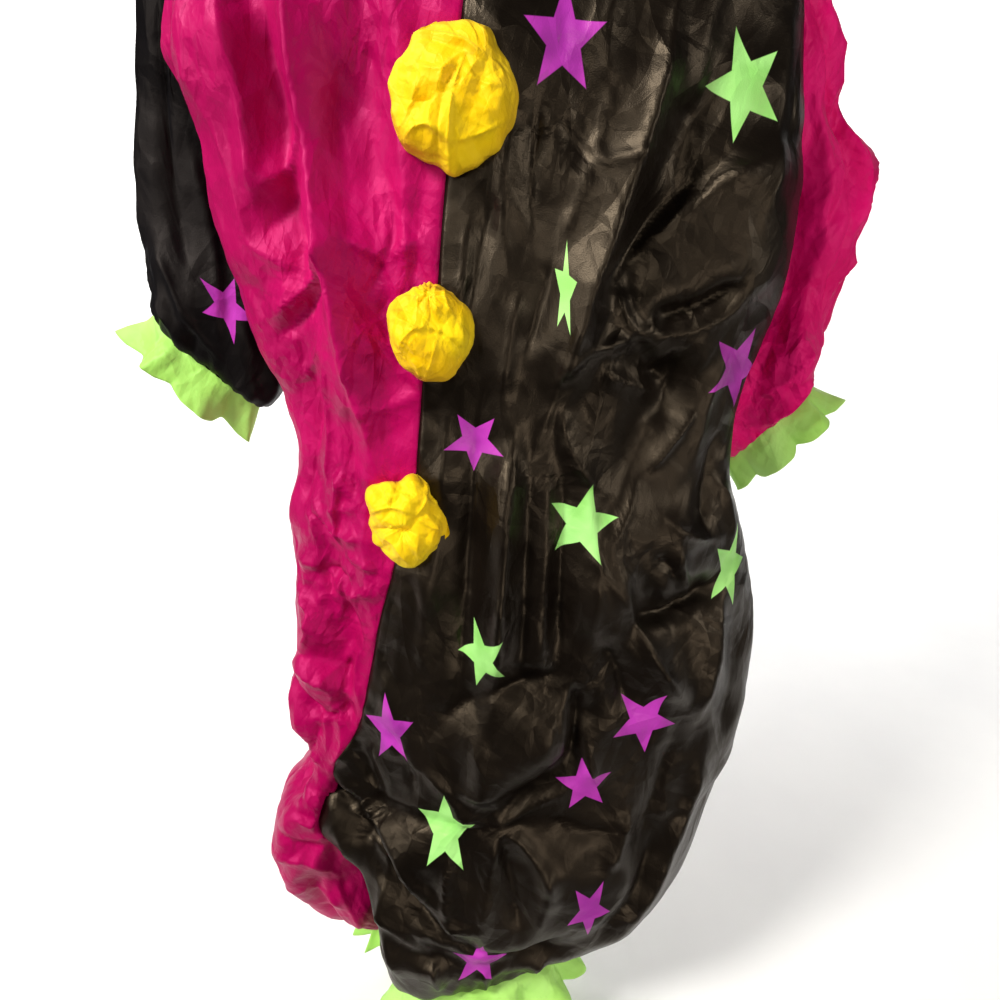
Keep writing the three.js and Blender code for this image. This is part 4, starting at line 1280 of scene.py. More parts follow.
    def flat(self, plan: PanelPlan) -> np.ndarray:
        """A panel's flat coordinates, measured from a plumb line down the panel.

        Args:
            plan: The panel.

        Returns:
            Across and up the cloth at each point, in metres.
        """
        grid = self.smooth_grids[plan.name]
        plumb, order = PLUMB_LINES[plan.side], plan.side.value
        arc = along(grid, axis=1)
        start = [np.interp(order * plumb, order * row[:, 0], s) for row, s in zip(grid, arc)]
        u = (arc - np.array(start)[:, None]) * order * -plan.face.value
        nearest = np.abs(grid[..., 0] - plumb).argmin(axis=1)
        line = grid[np.arange(len(grid)), nearest]
        steps = np.hypot(*np.diff(line[:, 1:], axis=0).T)
        v = -np.concatenate([[0], np.cumsum(steps)])
        return joined(u, v[:, None]) * MM

    def printed(self, plan: PanelPlan, star: Star) -> Printed:
        """A star, and where it lies on a panel's flat cloth."""
        return printed_at(self.grids[plan.name], self.flat(plan), star)

    def hem(self, side: Side) -> Loop:
        """The edge of one leg, all round.

        Args:
            side: Which leg.

        Returns:
            Its points in millimetres.
        """
        panels = (plan.name for plan in PANELS if plan.side is side)
        front, back = (self.smooth_grids[name][-1] for name in panels)
        loop = np.concatenate([front[::-1], back[1:-1]])
        return self._hang_leg(side, loop[None])[0]

    def neck(self) -> Loop:
        """The edge of the neck, all round."""
        right_front, left_front, right_back, left_back = (
            self.smooth_grids[plan.name][0] for plan in PANELS
        )
        edges = [right_front[::-1], left_front[1:], left_back[::-1][1:], right_back[1:-1]]
        return np.concatenate(edges)

    def build(self, materials: dict[str, bpy.types.Material], armholes: list[Loop]) -> None:
        """Makes the four panels.

        Args:
            materials: Each panel's finish, by its name.
            armholes: The lines on the body where the sleeves are sewn on.
        """
        for plan in PANELS:
            grid, flat = self.grids[plan.name], self.flat(plan)
            keep = np.ones((grid.shape[0] - 1, grid.shape[1] - 1), bool)
            for loop in armholes:
                grid, kept = cut_armhole(grid, self.smooth_grids[plan.name], loop)
                keep &= kept
            if plan.turned:
                grid, flat, keep = grid[:, ::-1], flat[:, ::-1], keep[:, ::-1]
            sheet = Sheet(f"panel_{plan.name}", plan.name, plan.colour, grid, flat, keep=keep)
            sheet.build(materials[plan.name], plan.cut)


def touched(faces: np.ndarray) -> np.ndarray:
    """The points of a grid at the corners of some of its faces.

    Args:
        faces: Whether each face is one of them.

    Returns:
        Whether each point is at a corner of one.
    """
    points = np.zeros((faces.shape[0] + 1, faces.shape[1] + 1), bool)
    for rows in (slice(None, -1), slice(1, None)):
        for columns in (slice(None, -1), slice(1, None)):
            points[rows, columns] |= faces
    return points


def cut_armhole(grid: Grid, form: Grid, loop: Loop) -> tuple[Grid, np.ndarray]:
    """Opens an armhole in a panel, and draws its edge onto the sleeve's line.

    Args:
        grid: The panel's points.
        form: The same points without folds.
        loop: The sleeve's line on the body.

    Returns:
        The panel's points, and which of its faces are kept.
    """
    side = np.sign(loop[:, 0].mean())
    near = form[..., 0] * side > np.abs(loop[:, 0]).min() - 30
    y, z = form[..., 1], form[..., 2]
    inside = np.zeros(form.shape[:2], bool)
    for (_, y0, z0), (_, y1, z1) in zip(loop, np.roll(loop, -1, axis=0)):
        if z0 == z1:
            continue
        crosses = (z0 > z) != (z1 > z)
        inside ^= crosses & (y < (y1 - y0) * (z - z0) / (z1 - z0) + y0)
    inside &= near
    gone = inside[:-1, :-1] & inside[1:, :-1] & inside[:-1, 1:] & inside[1:, 1:]
    rim = touched(gone) & touched(~gone)
    rim[:, [0, -1]] = False
    out = grid.copy()
    for i, j in np.argwhere(rim):
        out[i, j] = loop[np.linalg.norm(loop - form[i, j], axis=1).argmin()]
    return out, ~gone


# Sleeves

# A sleeve's long folds, as on the solids: where round it they lie, in degrees, how wide, how deep.
SLEEVE_LONG_FOLDS = ((62, 16, 8), (104, 14, -8), (148, 16, 6), (236, 18, -8), (292, 16, 7))
WRIST_TUCK = 14  # how much cloth the tuck at a wrist takes, in millimetres
SEAM_OVERLAP = 2.0  # how far its top goes under the body's edge
SLEEVE_CRUMPLE_FROM = np.array([37.0, 11.0, 53.0])  # keeps its crumple unlike the body's

# Creases of the sleeves. X is the way round from the outer end over the front, Z the way down.
SLEEVE_CREASES = {
    Side.RIGHT: creases(
        (70, -20, 76, -180, 60, -360, 9, 6, 1.1, 0.2),
        (110, -10, 130, -150, 126, -300, 10, -6, 1.2),
        (160, -60, 166, -200, 150, -390, 9, 6, 1.1),
        (30, -120, 40, -260, 34, -400, 9, -5, 1.2),
        (96, -300, 120, -350, 160, -380, 8, 6),
        (60, -340, 84, -390, 120, -420, 8, 6),
        (140, -340, 120, -400, 110, -440, 8, -6, 1.1),
        (190, -300, 196, -380, 176, -440, 9, 6, 1.1),
        (230, -200, 236, -300, 220, -420, 10, 5, 1.2),
        (300, -60, 316, -200, 310, -360, 10, 7, 1.1),
        (360, -40, 366, -180, 380, -340, 10, -6, 1.2),
        (410, -120, 420, -240, 400, -400, 10, 6, 1.1),
        (460, -80, 466, -240, 450, -380, 10, -5, 1.2),
    ),
    Side.LEFT: creases(
        (40, -10, 54, -200, 60, -420, 9, 7, 1.1, 0.2),
        (84, -10, 92, -220, 96, -440, 10, -7, 1.2),
        (120, -40, 126, -240, 118, -470, 9, 8, 1.1, -0.2),
        (156, -80, 152, -260, 160, -460, 9, -6, 1.2),
        (190, -120, 186, -300, 178, -480, 9, 6, 1.1),
        (20, -200, 46, -250, 80, -270, 8, 6),
        (30, -300, 60, -320, 96, -360, 8, 6),
        (24, -380, 54, -390, 84, -430, 8, -6),
        (70, -440, 100, -460, 140, -450, 8, 6),
        (96, -380, 124, -410, 160, -400, 8, 5),
        (10, -470, 40, -480, 70, -500, 7, 6),
        (230, -160, 240, -300, 226, -460, 10, 5, 1.2),
        (300, -60, 310, -240, 300, -430, 10, 7, 1.1),
        (356, -60, 350, -220, 366, -420, 10, -6, 1.2),
        (410, -140, 424, -280, 410, -460, 10, 6, 1.1),
        (462, -60, 470, -260, 456, -440, 10, -5, 1.2),
    ),
}


@dataclass
class Sleeve:
    """A full sleeve, from the armhole to the elastic at its wrist.

    Attributes:
        side: Which arm.
        form: The body's sections, which the sleeve meets.
        colour: The cloth's colour, as in the CAD node's name.
        cut: The sleeve's flat cut.
        crumple: How strongly it is crumpled.
        fineness: The share of the finer crumples near its wrist.
        wrist_pleats: How many pleats the elastic gathers at the wrist.
        wrist_depth: How deep they are, in millimetres.
        head_pleats: How many small ones are sewn in at the armhole.
        head_depth: How deep those are.
        rows: Strips down the arm.
        columns: Strips round it.
    """

    side: Side
    form: BodyForm
    colour: str
    cut: Cut
    crumple: float
    fineness: float
    wrist_pleats: int = 26
    wrist_depth: float = 3.4
    head_pleats: int = 40
    head_depth: float = 1.8
    rows: int = 120
    columns: int = 132

    def __post_init__(self) -> None:
        """Lays the sleeve's points."""
        self.table = ARMS[self.side]
        self.turns = np.arange(self.columns) * 2 * np.pi / self.columns
        starts = self._starts()
        centres = joined(*(self.table.column(axis) for axis in "xyz"))
        lengths = along(centres)
        lengths[-1] += WRIST_TUCK
        nodes = np.arange(len(self.table), dtype=float)
        first = np.interp(starts, nodes, lengths)
        share = np.linspace(0, 1, self.rows + 1)[:, None]
        reach = first * (1 - share) + lengths[-1] * share
        self.places = np.interp(reach, lengths, nodes)
        self.down = (reach - first).mean(axis=1)
        self.smooth_grid = self._clear(self._ring(self.places), self.places)
        self.armhole = self._ring(starts)

    def _ring(self, places: np.ndarray, out: float | np.ndarray = 0.0) -> Grid:
        """Points of the sleeve's rings, from the outer end over the front.

        Args:
            places: Fractional rows of the arm's table.
            out: How far they are moved out, in millimetres.

        Returns:
            The points in millimetres.
        """
        row = self.table.at(places)
        lean = np.radians(row["lean"])
        across = (row["wide"] + out) * np.cos(self.turns)
        x = row["x"] + self.side.value * across * np.cos(lean)
        y = row["y"] - (row["deep"] + out) * np.sin(self.turns)
        return joined(x, y, row["z"] + across * np.sin(lean))

    def _starts(self) -> np.ndarray:
        """Where each line down the sleeve comes out of the body, as fractional rows."""
        places = np.linspace(0, 3.3, 200)[:, None] * np.ones(self.columns)
        value = self.form.inside_trunk(self._ring(places))
        last = len(places) - 2 - (value[:-1] < 1)[::-1].argmax(axis=0)
        column = np.arange(self.columns)
        low, high = value[last, column], value[last + 1, column]
        share = np.clip((1 - low) / np.maximum(high - low, 1e-6), 0, 1)
        start = places[last, 0] + share * (places[1, 0] - places[0, 0])
        kernel = np.array([0.06, 0.24, 0.4, 0.24, 0.06])
        padded = np.concatenate([start[-2:], start, start[:2]])
        return np.convolve(padded, kernel, mode="valid")

    def _clear(self, grid: Grid, places: np.ndarray) -> Grid:
        """Keeps the sleeve clear of the body's back below the armhole.

        Args:
            grid: The sleeve's points.
            places: Their fractional rows.

        Returns:
            The points, with those that were too near pushed back.
        """
        out = grid.copy()
        behind = self.form.behind_body(grid[..., 0], grid[..., 2]) + SLEEVE_CLEAR
        out[..., 1] += np.maximum(0, behind - grid[..., 1]) * smooth(places, 2.2, 3.0)
        return out

    def flat(self) -> np.ndarray:
        """The sleeve's flat coordinates in metres: round it from its outer end, and down it."""
        grid = self.smooth_grid
        girth = np.linalg.norm(np.roll(grid, -1, axis=1) - grid, axis=-1).sum(axis=1)
        around = self.turns / (2 * np.pi) * girth[:, None]
        down = np.broadcast_to(self.down[:, None], around.shape)
        return joined(around, -down) * MM

    def printed(self, star: Star) -> Printed:
        """A star, and where it lies on the front of the sleeve's flat cloth."""
        front = slice(0, self.columns // 2)
        return printed_at(self.smooth_grid[:, front], self.flat()[:, front], star)

    def build(self, material: bpy.types.Material) -> Loop:
        """Makes the sleeve.

        Args:
            material: Its finish.

        Returns:
            The edge of its wrist.
        """
        share = self.places / (len(self.table) - 1)
        degrees = np.degrees(self.turns)
        fold = np.zeros_like(degrees)
        for turn, width, depth in SLEEVE_LONG_FOLDS:
            off = (degrees - turn + 540) % 360 - 180
            fold += depth * np.exp(-((off / width) ** 2))
        fold = fold * (smooth(share, 0.3, 0.5) * smooth(1 - share, 0, 0.12))
        grid = self._ring(self.places, fold)
        normals = grid_normals(grid, closed=True) * self.side.value
        flat = self.flat()
        around, down = flat[..., 0] / MM, -flat[..., 1] / MM
        depth = fold_depth(SLEEVE_CREASES[self.side], around, -down)
        finer = self.fineness * smooth(down, 0, 200)
        depth += self.crumple * crumpled(grid + SLEEVE_CRUMPLE_FROM, finer) + 1.0
        from_wrist = self.down[-1] - down
        depth *= smooth(down, 0, 26) * smooth(from_wrist, 12, 40)
        pleat = np.sin(self.wrist_pleats * self.turns + 2 * np.sin(3 * self.turns))
        depth += self.wrist_depth * pleat * np.exp(-from_wrist / 30) * smooth(from_wrist, 6, 24)
        pleat = np.sin(self.head_pleats * self.turns)
        depth += self.head_depth * pleat * np.exp(-down / 14) * smooth(down, 0, 8)
        grid = self._clear(grid + depth[..., None] * normals, self.places)
        grid[0] -= SEAM_OVERLAP * unit(grid[2] - grid[0])
        if self.side is Side.LEFT:
            grid, flat = grid[:, ::-1], flat[:, ::-1]
        name = f"sleeve_{self.colour}"
        sheet = Sheet(f"{name}_cloth", name, self.colour, grid, flat, closed=True)
        sheet.build(material, self.cut)
        return self.smooth_grid[-1]

    def axis(self) -> np.ndarray:
        """The way out of the wrist."""
        lean = math.radians(self.table.column("lean")[-1])
        return np.array([self.side.value * math.sin(lean), 0.0, -math.cos(lean)])


# Frills and the neckband


def evenly(loop: Loop, count: int) -> Loop:
    """A closed line's points at even steps."""
    closed = np.concatenate([loop, loop[:1]])
    length = along(closed)
    wanted = np.arange(count) * length[-1] / count
    return joined(*(np.interp(wanted, length, closed[:, k]) for k in range(3)))


@dataclass
class Frill:
    """A frill that is gathered on a hem and falls from it in flutes.

    Attributes:
        name: The CAD node that it stands for.
        length: How far it falls, in millimetres.
        flare: How much wider its edge is.
        wave: How deep its flutes are at the edge.
        flutes: How many there are.
        cut: Its flat cut.
        seed: Chooses how uneven the flutes are.
        rows: Strips down it.
        columns: Strips round it.
    """

    name: str
    length: float
    flare: float
    wave: float
    flutes: int
    cut: Cut
    seed: int
    rows: int = 20
    columns: int = 230

    def build(self, hem: Loop, axis: np.ndarray, material: bpy.types.Material) -> None:
        """Makes the frill.

        Args:
            hem: The closed edge that it is sewn to.
            axis: The way it falls.
            material: Its finish.
        """
        loop = evenly(hem, self.columns)
        away = loop - loop.mean(axis=0)
        outwards = unit(away - (away @ axis)[:, None] * axis)
        rng = np.random.default_rng(self.seed)
        turn = np.arange(self.columns) / self.columns * 2 * np.pi
        uneven = np.ones(self.columns)
        drift = np.zeros(self.columns)
        for k in range(1, 6):
            uneven += rng.uniform(-0.22, 0.22) * np.sin(k * turn + rng.uniform(0, 6.3))
            drift += rng.uniform(-0.5, 0.5) * np.sin(k * turn + rng.uniform(0, 6.3))
        phase = self.flutes * turn + drift
        crisp = 2 / np.pi * np.arcsin(0.95 * np.sin(phase))
        pleats = np.sin(3 * phase + 1.5 * np.sin(2 * turn))
        share = np.linspace(0, 1, self.rows + 1)[:, None]
        out = 1.2 + share * self.flare + self.wave * uneven * crisp * share**0.85
        out = out + 1.4 * pleats * share * (1 - share) * 2
        drop = 0.3 + share * (self.length + 4.0 * uneven * crisp - 3.0 * np.abs(crisp))
        grid = loop + out[..., None] * outwards + drop[..., None] * axis
        sideways = np.cross(outwards, axis)
        grid = grid + (share * 2.6 * np.cos(phase) * uneven)[..., None] * sideways
        crease = Crumple(34, 1.0, 5.0, self.seed).height(grid) * smooth(share, 0, 0.3)
        grid = grid + crease[..., None] * outwards
        around = np.arange(self.columns)[None, :] / self.columns * self.cut.width
        flat = joined(around, -share * self.cut.length)
        normal = np.cross(grid[1, 0] - grid[0, 0], grid[0, 1] - grid[0, 0])
        if normal @ outwards[0] < 0:
            grid, flat = grid[:, ::-1], flat[:, ::-1]
        sheet = Sheet(f"{self.name}_cloth", self.name, "green", grid, flat, closed=True, thick=0.8)
        sheet.build(material, self.cut)


ANKLE_FRILLS = {
    Side.RIGHT: Frill("ankle_frill_right", 56, 20, 12, 11, Cut(0.55, 0.06), 31),
    Side.LEFT: Frill("ankle_frill_left", 58, 34, 15, 11, Cut(0.72, 0.06), 32),
}
WRIST_FRILLS = {
    Side.RIGHT: Frill("wrist_frill_right", 50, 15, 12, 7, Cut(0.52, 0.054), 33),
    Side.LEFT: Frill("wrist_frill_left", 50, 10, 12, 7, Cut(0.5, 0.054), 34),
}


@dataclass
class NeckBand:
    """The elastic neckband: a casing gathered over its elastic.

    Attributes:
        height: Its height in millimetres.
        wall: Its thickness.
        gathers: How many small pleats it has all round.
        columns: Strips round it.
        cut: Its flat cut.
    """

    height: float = 24.0
    wall: float = 3.0
    gathers: int = 84
    columns: int = 420
    cut: Cut = Cut(0.52, 0.028, held=Held.GATHERED)

    def build(self, neck: Loop, material: bpy.types.Material) -> None:
        """Makes the band.

        Args:
            neck: The neck's edge, all round.
            material: Its finish.
        """
        loop = evenly(neck, self.columns)
        outwards = unit(loop * np.array([1.0, 1.0, 0.0]))
        turn = np.arange(self.columns) / self.columns * 2 * np.pi
        ripple = np.sin(self.gathers * turn + 2.2 * np.sin(5 * turn))
        section = self._section()
        rings = []
        for inset, level in section:
            outer = 1 if inset < self.wall / 2 else -1
            belly = math.sin(math.pi * np.clip(level / self.height, 0.06, 0.94))
            swell = 0.9 * ripple * outer * belly
            ring = loop + (swell - inset)[:, None] * outwards
            ring[:, 2] = level + 0.5 * ripple * (level > self.height - 4)
            rings.append(ring)
        around, up = along(loop)[None, :], along(np.array(section))[:, None]
        flat = joined(around, up) * MM
        grid = np.array(rings)
        band = Sheet("neckband_casing", "neckband", "black", grid, flat, closed=True, thick=0)
        band.build(material, self.cut)

    def _section(self) -> list[tuple[float, float]]:
        """The band's section as insets and levels, closed."""
        points = [(0.35, 0.3), (0.0, 1.2)]
        points += [(0.0, level) for level in np.linspace(3, self.height - 3, 9)]
        points += [(0.0, self.height - 1.4), (0.5, self.height - 0.4)]
        points += [(self.wall / 2, self.height), (self.wall - 0.5, self.height - 0.4)]
        points += [(self.wall, level) for level in np.linspace(self.height - 1.6, 1.4, 7)]
        return [*points, (self.wall - 0.35, 0.3), points[0]]


# Pompons


@dataclass(frozen=True)
class Pompon:
    """A crumpled puff on the centre-front seam.

    Attributes:
        name: The CAD node that it stands for.
        x: Its middle across, in millimetres.
        z: Its middle up.
        wide: Half its width.
        high: Half its height.
        thick: Half its thickness.
        lobes: How many bulges its outline has.
        lobed: How deep they are, as a share of its width.
        turn: How they are turned.
        gather: Where its cloth is gathered, up from its middle, as a share of its height.
        pleated: How strongly it is pleated there.
        crush: How strongly it is crumpled, in millimetres.
        seed: Chooses its crumple.
        fill: How full it is; not used.
        rings: Strips from its front to its back.
        around: Strips round it.
    """

    name: str
    x: float
    z: float
    wide: float
    high: float
    thick: float
    lobes: int
    lobed: float
    turn: float
    gather: float
    pleated: float
    crush: float
    seed: int
    fill: float = 0.45
    rings: int = 110
    around: int = 180

    def build(self, form: BodyForm, material: bpy.types.Material) -> None:
        """Makes the puff.

        Args:
            form: The body's sections, which its back lies on.
            material: Its finish.
        """
        table = form.halves[Side.LEFT]
        seam_y = float(table.at(table.place_of_level(np.array(self.z)))["frontY"])
        polar = np.linspace(0.0, np.pi, self.rings + 1)[:, None]
        turns = np.arange(self.around)[None, :] / self.around * 2 * np.pi
        spread = np.sin(polar) ** 0.75
        lobe = 1 + self.lobed * np.sin(self.lobes * turns + self.turn) * spread
        lobe = lobe + 0.012 * np.sin((2 * self.lobes + 1) * turns + 2 * self.turn) * spread
        dent = 0.1 * np.sin(3 * turns + 2 * self.turn + polar * 8 / np.pi)
        x = self.wide * spread * lobe * np.cos(turns)
        z = self.high * spread * lobe * np.sin(turns)
        y = -self.thick * (np.cos(polar) + dent * spread)
        grid = joined(x, y, z)
        outward = unit(grid / np.array([self.wide**2, self.thick**2, self.high**2]))
        grid = grid + self._crush(grid)[..., None] * outward
        grid = grid + np.array([self.x, seam_y, self.z])
        middle, reach, front, _ = form.trunk_ovals(grid[..., 2])
        bulge = np.sqrt(np.clip(1 - ((grid[..., 0] - middle) / reach) ** 2, 0, 1))
        grid[..., 1] = np.minimum(grid[..., 1], -front * bulge - 0.6)
        flat = joined(turns / 6.3, polar / 3.2) * 0.2
        grid[0], grid[-1] = grid[0].mean(axis=0), grid[-1].mean(axis=0)
        puff = Sheet(f"{self.name}_puff", self.name, "yellow", grid, flat, closed=True)
        piece = puff.lay(material)
        tidy_mesh(piece, all_round=True)
        puff.declare(piece)

    def _crush(self, grid: Grid) -> np.ndarray:
        """How far the puff's cloth moves out.

        Args:
            grid: Points about its middle, in millimetres.

        Returns:
            The depth at each, in millimetres.
        """
        offset = np.array([self.x, 0.0, self.z])
        depth = Crumple(30, 1.0, self.crush, self.seed).height(grid + offset)
        depth += Crumple(15, 1.0, 0.45 * self.crush, self.seed + 1).height(grid + offset)
        knot = np.array([0.0, self.gather * self.high])
        rays = np.arctan2(grid[..., 2] - knot[1], grid[..., 0] - knot[0])
        reach = np.hypot(grid[..., 0] - knot[0], grid[..., 2] - knot[1]) / self.high
        pleat = np.abs(np.sin(5.5 * rays + 1.5 * np.sin(2 * rays + self.turn))) - 0.5
        depth += self.pleated * self.crush * pleat * np.exp(-(((reach - 0.22) / 0.24) ** 2))
        depth -= 0.6 * self.crush * np.exp(-((reach / 0.14) ** 2)) * (grid[..., 1] < 0)
        creased = fold_depth(POMPON_CREASES[self.name], grid[..., 0], grid[..., 2])
        depth += 1.1 * creased * (grid[..., 1] < 0)
        return depth


# Creases of the puffs, from each one's middle as seen from the front.
POMPON_CREASES = {
    "pompon_top": creases(
        (-37, 46, -4, 42, 38, 24, 4, 5, 1.1, -0.5),
        (-34, 41, -2, 36, 40, 18, 3, -3, 1.1),
        (16, 30, -4, 18, -12, -4, 2.6, 3.4, 1, 0.3),
        (-12, -4, -20, -20, -8, -38, 2.6, 3.4, 1, 0.3),
        (-30, 22, -12, 16, 10, 22, 2.4, 3),
        (10, 22, 0, -10, -4, -58, 3, 3.4, 1, -0.3),
        (4, 14, -8, -6, -14, -52, 3, -3),
        (-46, 13, -32, 2, -42, -16, 2.6, 3),
        (-42, -34, -22, -26, -2, -38, 2.6, 3, 1, 0.3),
        (-2, -38, 26, -32, 50, -18, 3, 2.8, 1.1, 0.3),
        (10, 22, 28, 6, 46, 8, 3, 2.4, 1.1),
        (-12, -4, -28, -8, -48, -2, 3, -2.6, 1.1),
    ),
    "pompon_middle": creases(
        (-14, 46, -12, 36, -14, 24, 2.4, 3),
        (-5, 46, -4, 34, -2, 22, 2.4, 3),
        (5, 46, 6, 32, 10, 20, 2.4, 3),
        (14, 42, 16, 30, 24, 18, 2.4, 3),
        (-30, -12, -8, 8, 20, -2, 3, 3.6, 1, 0.3),
        (8, -2, 0, -26, -8, -46, 3, 3, 1, -0.3),
        (-30, 16, -16, 10, -6, 4, 2.8, 2.6),
        (20, -2, 30, -18, 26, -34, 3.4, -4),
        (-22, -20, -12, -30, -14, -42, 2.8, 2.6),
    ),
    "pompon_bottom": creases(
        (-36, 10, -14, 22, 16, 14, 3, 4, 1, 0.3),
        (16, 14, 26, 30, 22, 44, 3, 3.6),
        (-14, 22, -16, 34, -24, 44, 3, 3.6),
        (-36, -8, -10, -2, 18, -10, 3, -4),
        (-20, -14, -6, -24, 6, -44, 3, 4, 1, 0.3),
        (18, -10, 14, -26, 20, -38, 3, 3.6),
        (16, 14, 28, 2, 40, -4, 3, 3.6),
    ),
}
POMPONS = (
    Pompon("pompon_top", -42, -286, 57, 61, 34, 7, 0.015, 0.4, 0.1, 0.1, 3.4, 3),
    Pompon("pompon_middle", -68, -494, 43, 48, 32, 5, 0.03, 1.1, 0.8, 0.6, 4.5, 8),
    Pompon("pompon_bottom", -104, -694, 43, 49, 32, 5, 0.07, 2.3, -0.1, 0.1, 7.5, 14),
)


# Finishes


class Wiring:
    """Makes nodes in one node tree and joins them."""

    def __init__(self, tree: bpy.types.NodeTree) -> None:
        """Keeps the tree.

        Args:
            tree: A material's tree or a node group.
        """
        self.tree = tree

    def node(self, kind: str, **settings: object) -> bpy.types.Node:
        """One node, with its settings."""
        made = self.tree.nodes.new(kind)
        for name, value in settings.items():
            setattr(made, name, value)
        return made

    def put(self, node: bpy.types.Node, **inputs: object) -> None:
        """Sets a node's inputs to values, or joins them to other nodes' outputs.

        Args:
            node: The node.
            inputs: A value or an output for each input, by its name, or as i0 by its number.
        """
        for name, value in inputs.items():
            socket = node.inputs[int(name[1:]) if name[1:].isdigit() else name.replace("_", " ")]
            if isinstance(value, bpy.types.NodeSocket):
                self.tree.links.new(value, socket)
            else:
                socket.default_value = value

    def maths(self, operation: str, *values: object) -> bpy.types.NodeSocket:
        """The result of one Math node."""
        node = self.node("ShaderNodeMath", operation=operation)
        self.put(node, **{f"i{i}": value for i, value in enumerate(values)})
        return node.outputs[0]

    def vector(self, operation: str, *values: object) -> bpy.types.NodeSocket:
        """The result of one Vector Math node."""
        node = self.node("ShaderNodeVectorMath", operation=operation)
        self.put(node, **{f"i{i}": value for i, value in enumerate(values)})
        return node.outputs[0]

    def range(self, value: object, *bounds: float) -> bpy.types.NodeSocket:
        """A value eased from one range into another by a Map Range node.

        Args:
            value: The output that gives it.
            bounds: The ends of the first range and those of the second.

        Returns:
            The result's socket.
        """
        node = self.node("ShaderNodeMapRange", interpolation_type="SMOOTHSTEP")
        ends = dict(zip(("From_Min", "From_Max", "To_Min", "To_Max"), bounds))
        self.put(node, Value=value, **ends)
        return node.outputs["Result"]

    def noise(self, vector: object, scale: float, detail: float = 2.0) -> bpy.types.NodeSocket:
        """The factor of a Noise Texture node."""
        node = self.node("ShaderNodeTexNoise")
        self.put(node, Vector=vector, Scale=scale, Detail=detail)
        return node.outputs[0]

    def mix(self, factor: object, first: object, second: object) -> bpy.types.NodeSocket:
        """The colour of a Mix node."""
        node = self.node("ShaderNodeMix", data_type="RGBA")
        self.put(node, i0=factor, i6=first, i7=second)
        return node.outputs[2]


def new_group(name: str, inputs: dict[str, str], outputs: dict[str, str]) -> Wiring:
    """A node group with its sockets.

    Args:
        name: The group's name.
        inputs: Socket types by name.
        outputs: Socket types by name.

    Returns:
        The wiring of the group, with nodes called "in" and "out".
    """
    tree = bpy.data.node_groups.new(name, "ShaderNodeTree")
    for in_out, sockets in (("INPUT", inputs), ("OUTPUT", outputs)):
        for label, kind in sockets.items():
            tree.interface.new_socket(label, in_out=in_out, socket_type=f"NodeSocket{kind}")
    wiring = Wiring(tree)
    wiring.node("NodeGroupInput", name="in")
    wiring.node("NodeGroupOutput", name="out")
    return wiring


# The sizes of fine crease: how many to a metre, how much each counts, and how long they are.
CRINKLES = ((22.0, 1.0, 0.6), (50.0, 0.3, 0.75), (115.0, 0.06, 0.9))
WEAVE_SCALE, WEAVE_DEPTH = 900.0, 0.02


def crinkle_group() -> bpy.types.NodeTree:
    """Fine creases of pressed nylon: a height, and a tone for where a paler colour is painted in
    as light.
    """
    inputs = {"Vector": "Vector", "Fineness": "Float"}
    wiring = new_group("nylon_crinkle", inputs, {"Height": "Float", "Tone": "Float"})
    vector, fineness = (wiring.tree.nodes["in"].outputs[name] for name in inputs)
    sized = wiring.vector("MULTIPLY", vector, fineness)
    bend = wiring.node("ShaderNodeTexNoise")
    wiring.put(bend, Vector=vector, Scale=9.0, Detail=1.0)
    turned = wiring.vector("MULTIPLY_ADD", bend.outputs["Color"], (0.03, 0.03, 0.03), sized)
    height = 0.0
    for scale, weight, stretch in CRINKLES:
        long = wiring.vector("MULTIPLY", turned, (1.0, 1.0, stretch))
        skew = wiring.node("ShaderNodeVectorRotate", rotation_type="EULER_XYZ")
        wiring.put(skew, Vector=long, Rotation=(0.5, 0.02 * scale + 0.2, 0.4))
        cells = wiring.node("ShaderNodeTexVoronoi", feature="F1", distance="MANHATTAN")
        wiring.put(cells, Vector=skew.outputs[0], Scale=scale)
        height = wiring.maths("MULTIPLY_ADD", cells.outputs["Distance"], weight, height)
    calm = wiring.range(wiring.noise(vector, 6.5, 1.0), 0.34, 0.6, 0.4, 1.0)
    height = wiring.maths("MULTIPLY", height, calm)
    weave = wiring.noise(vector, WEAVE_SCALE, 1.0)
    height = wiring.maths("MULTIPLY_ADD", weave, WEAVE_DEPTH, height)
    tone = wiring.noise(turned, 9.0, 3.0)
    wiring.put(wiring.tree.nodes["out"], Height=height, Tone=tone)
    return wiring.tree


# By a star's radius: how far out its notches lie, and how soft its printed edge is.
STAR_NOTCH, STAR_EDGE = 0.43, 0.012


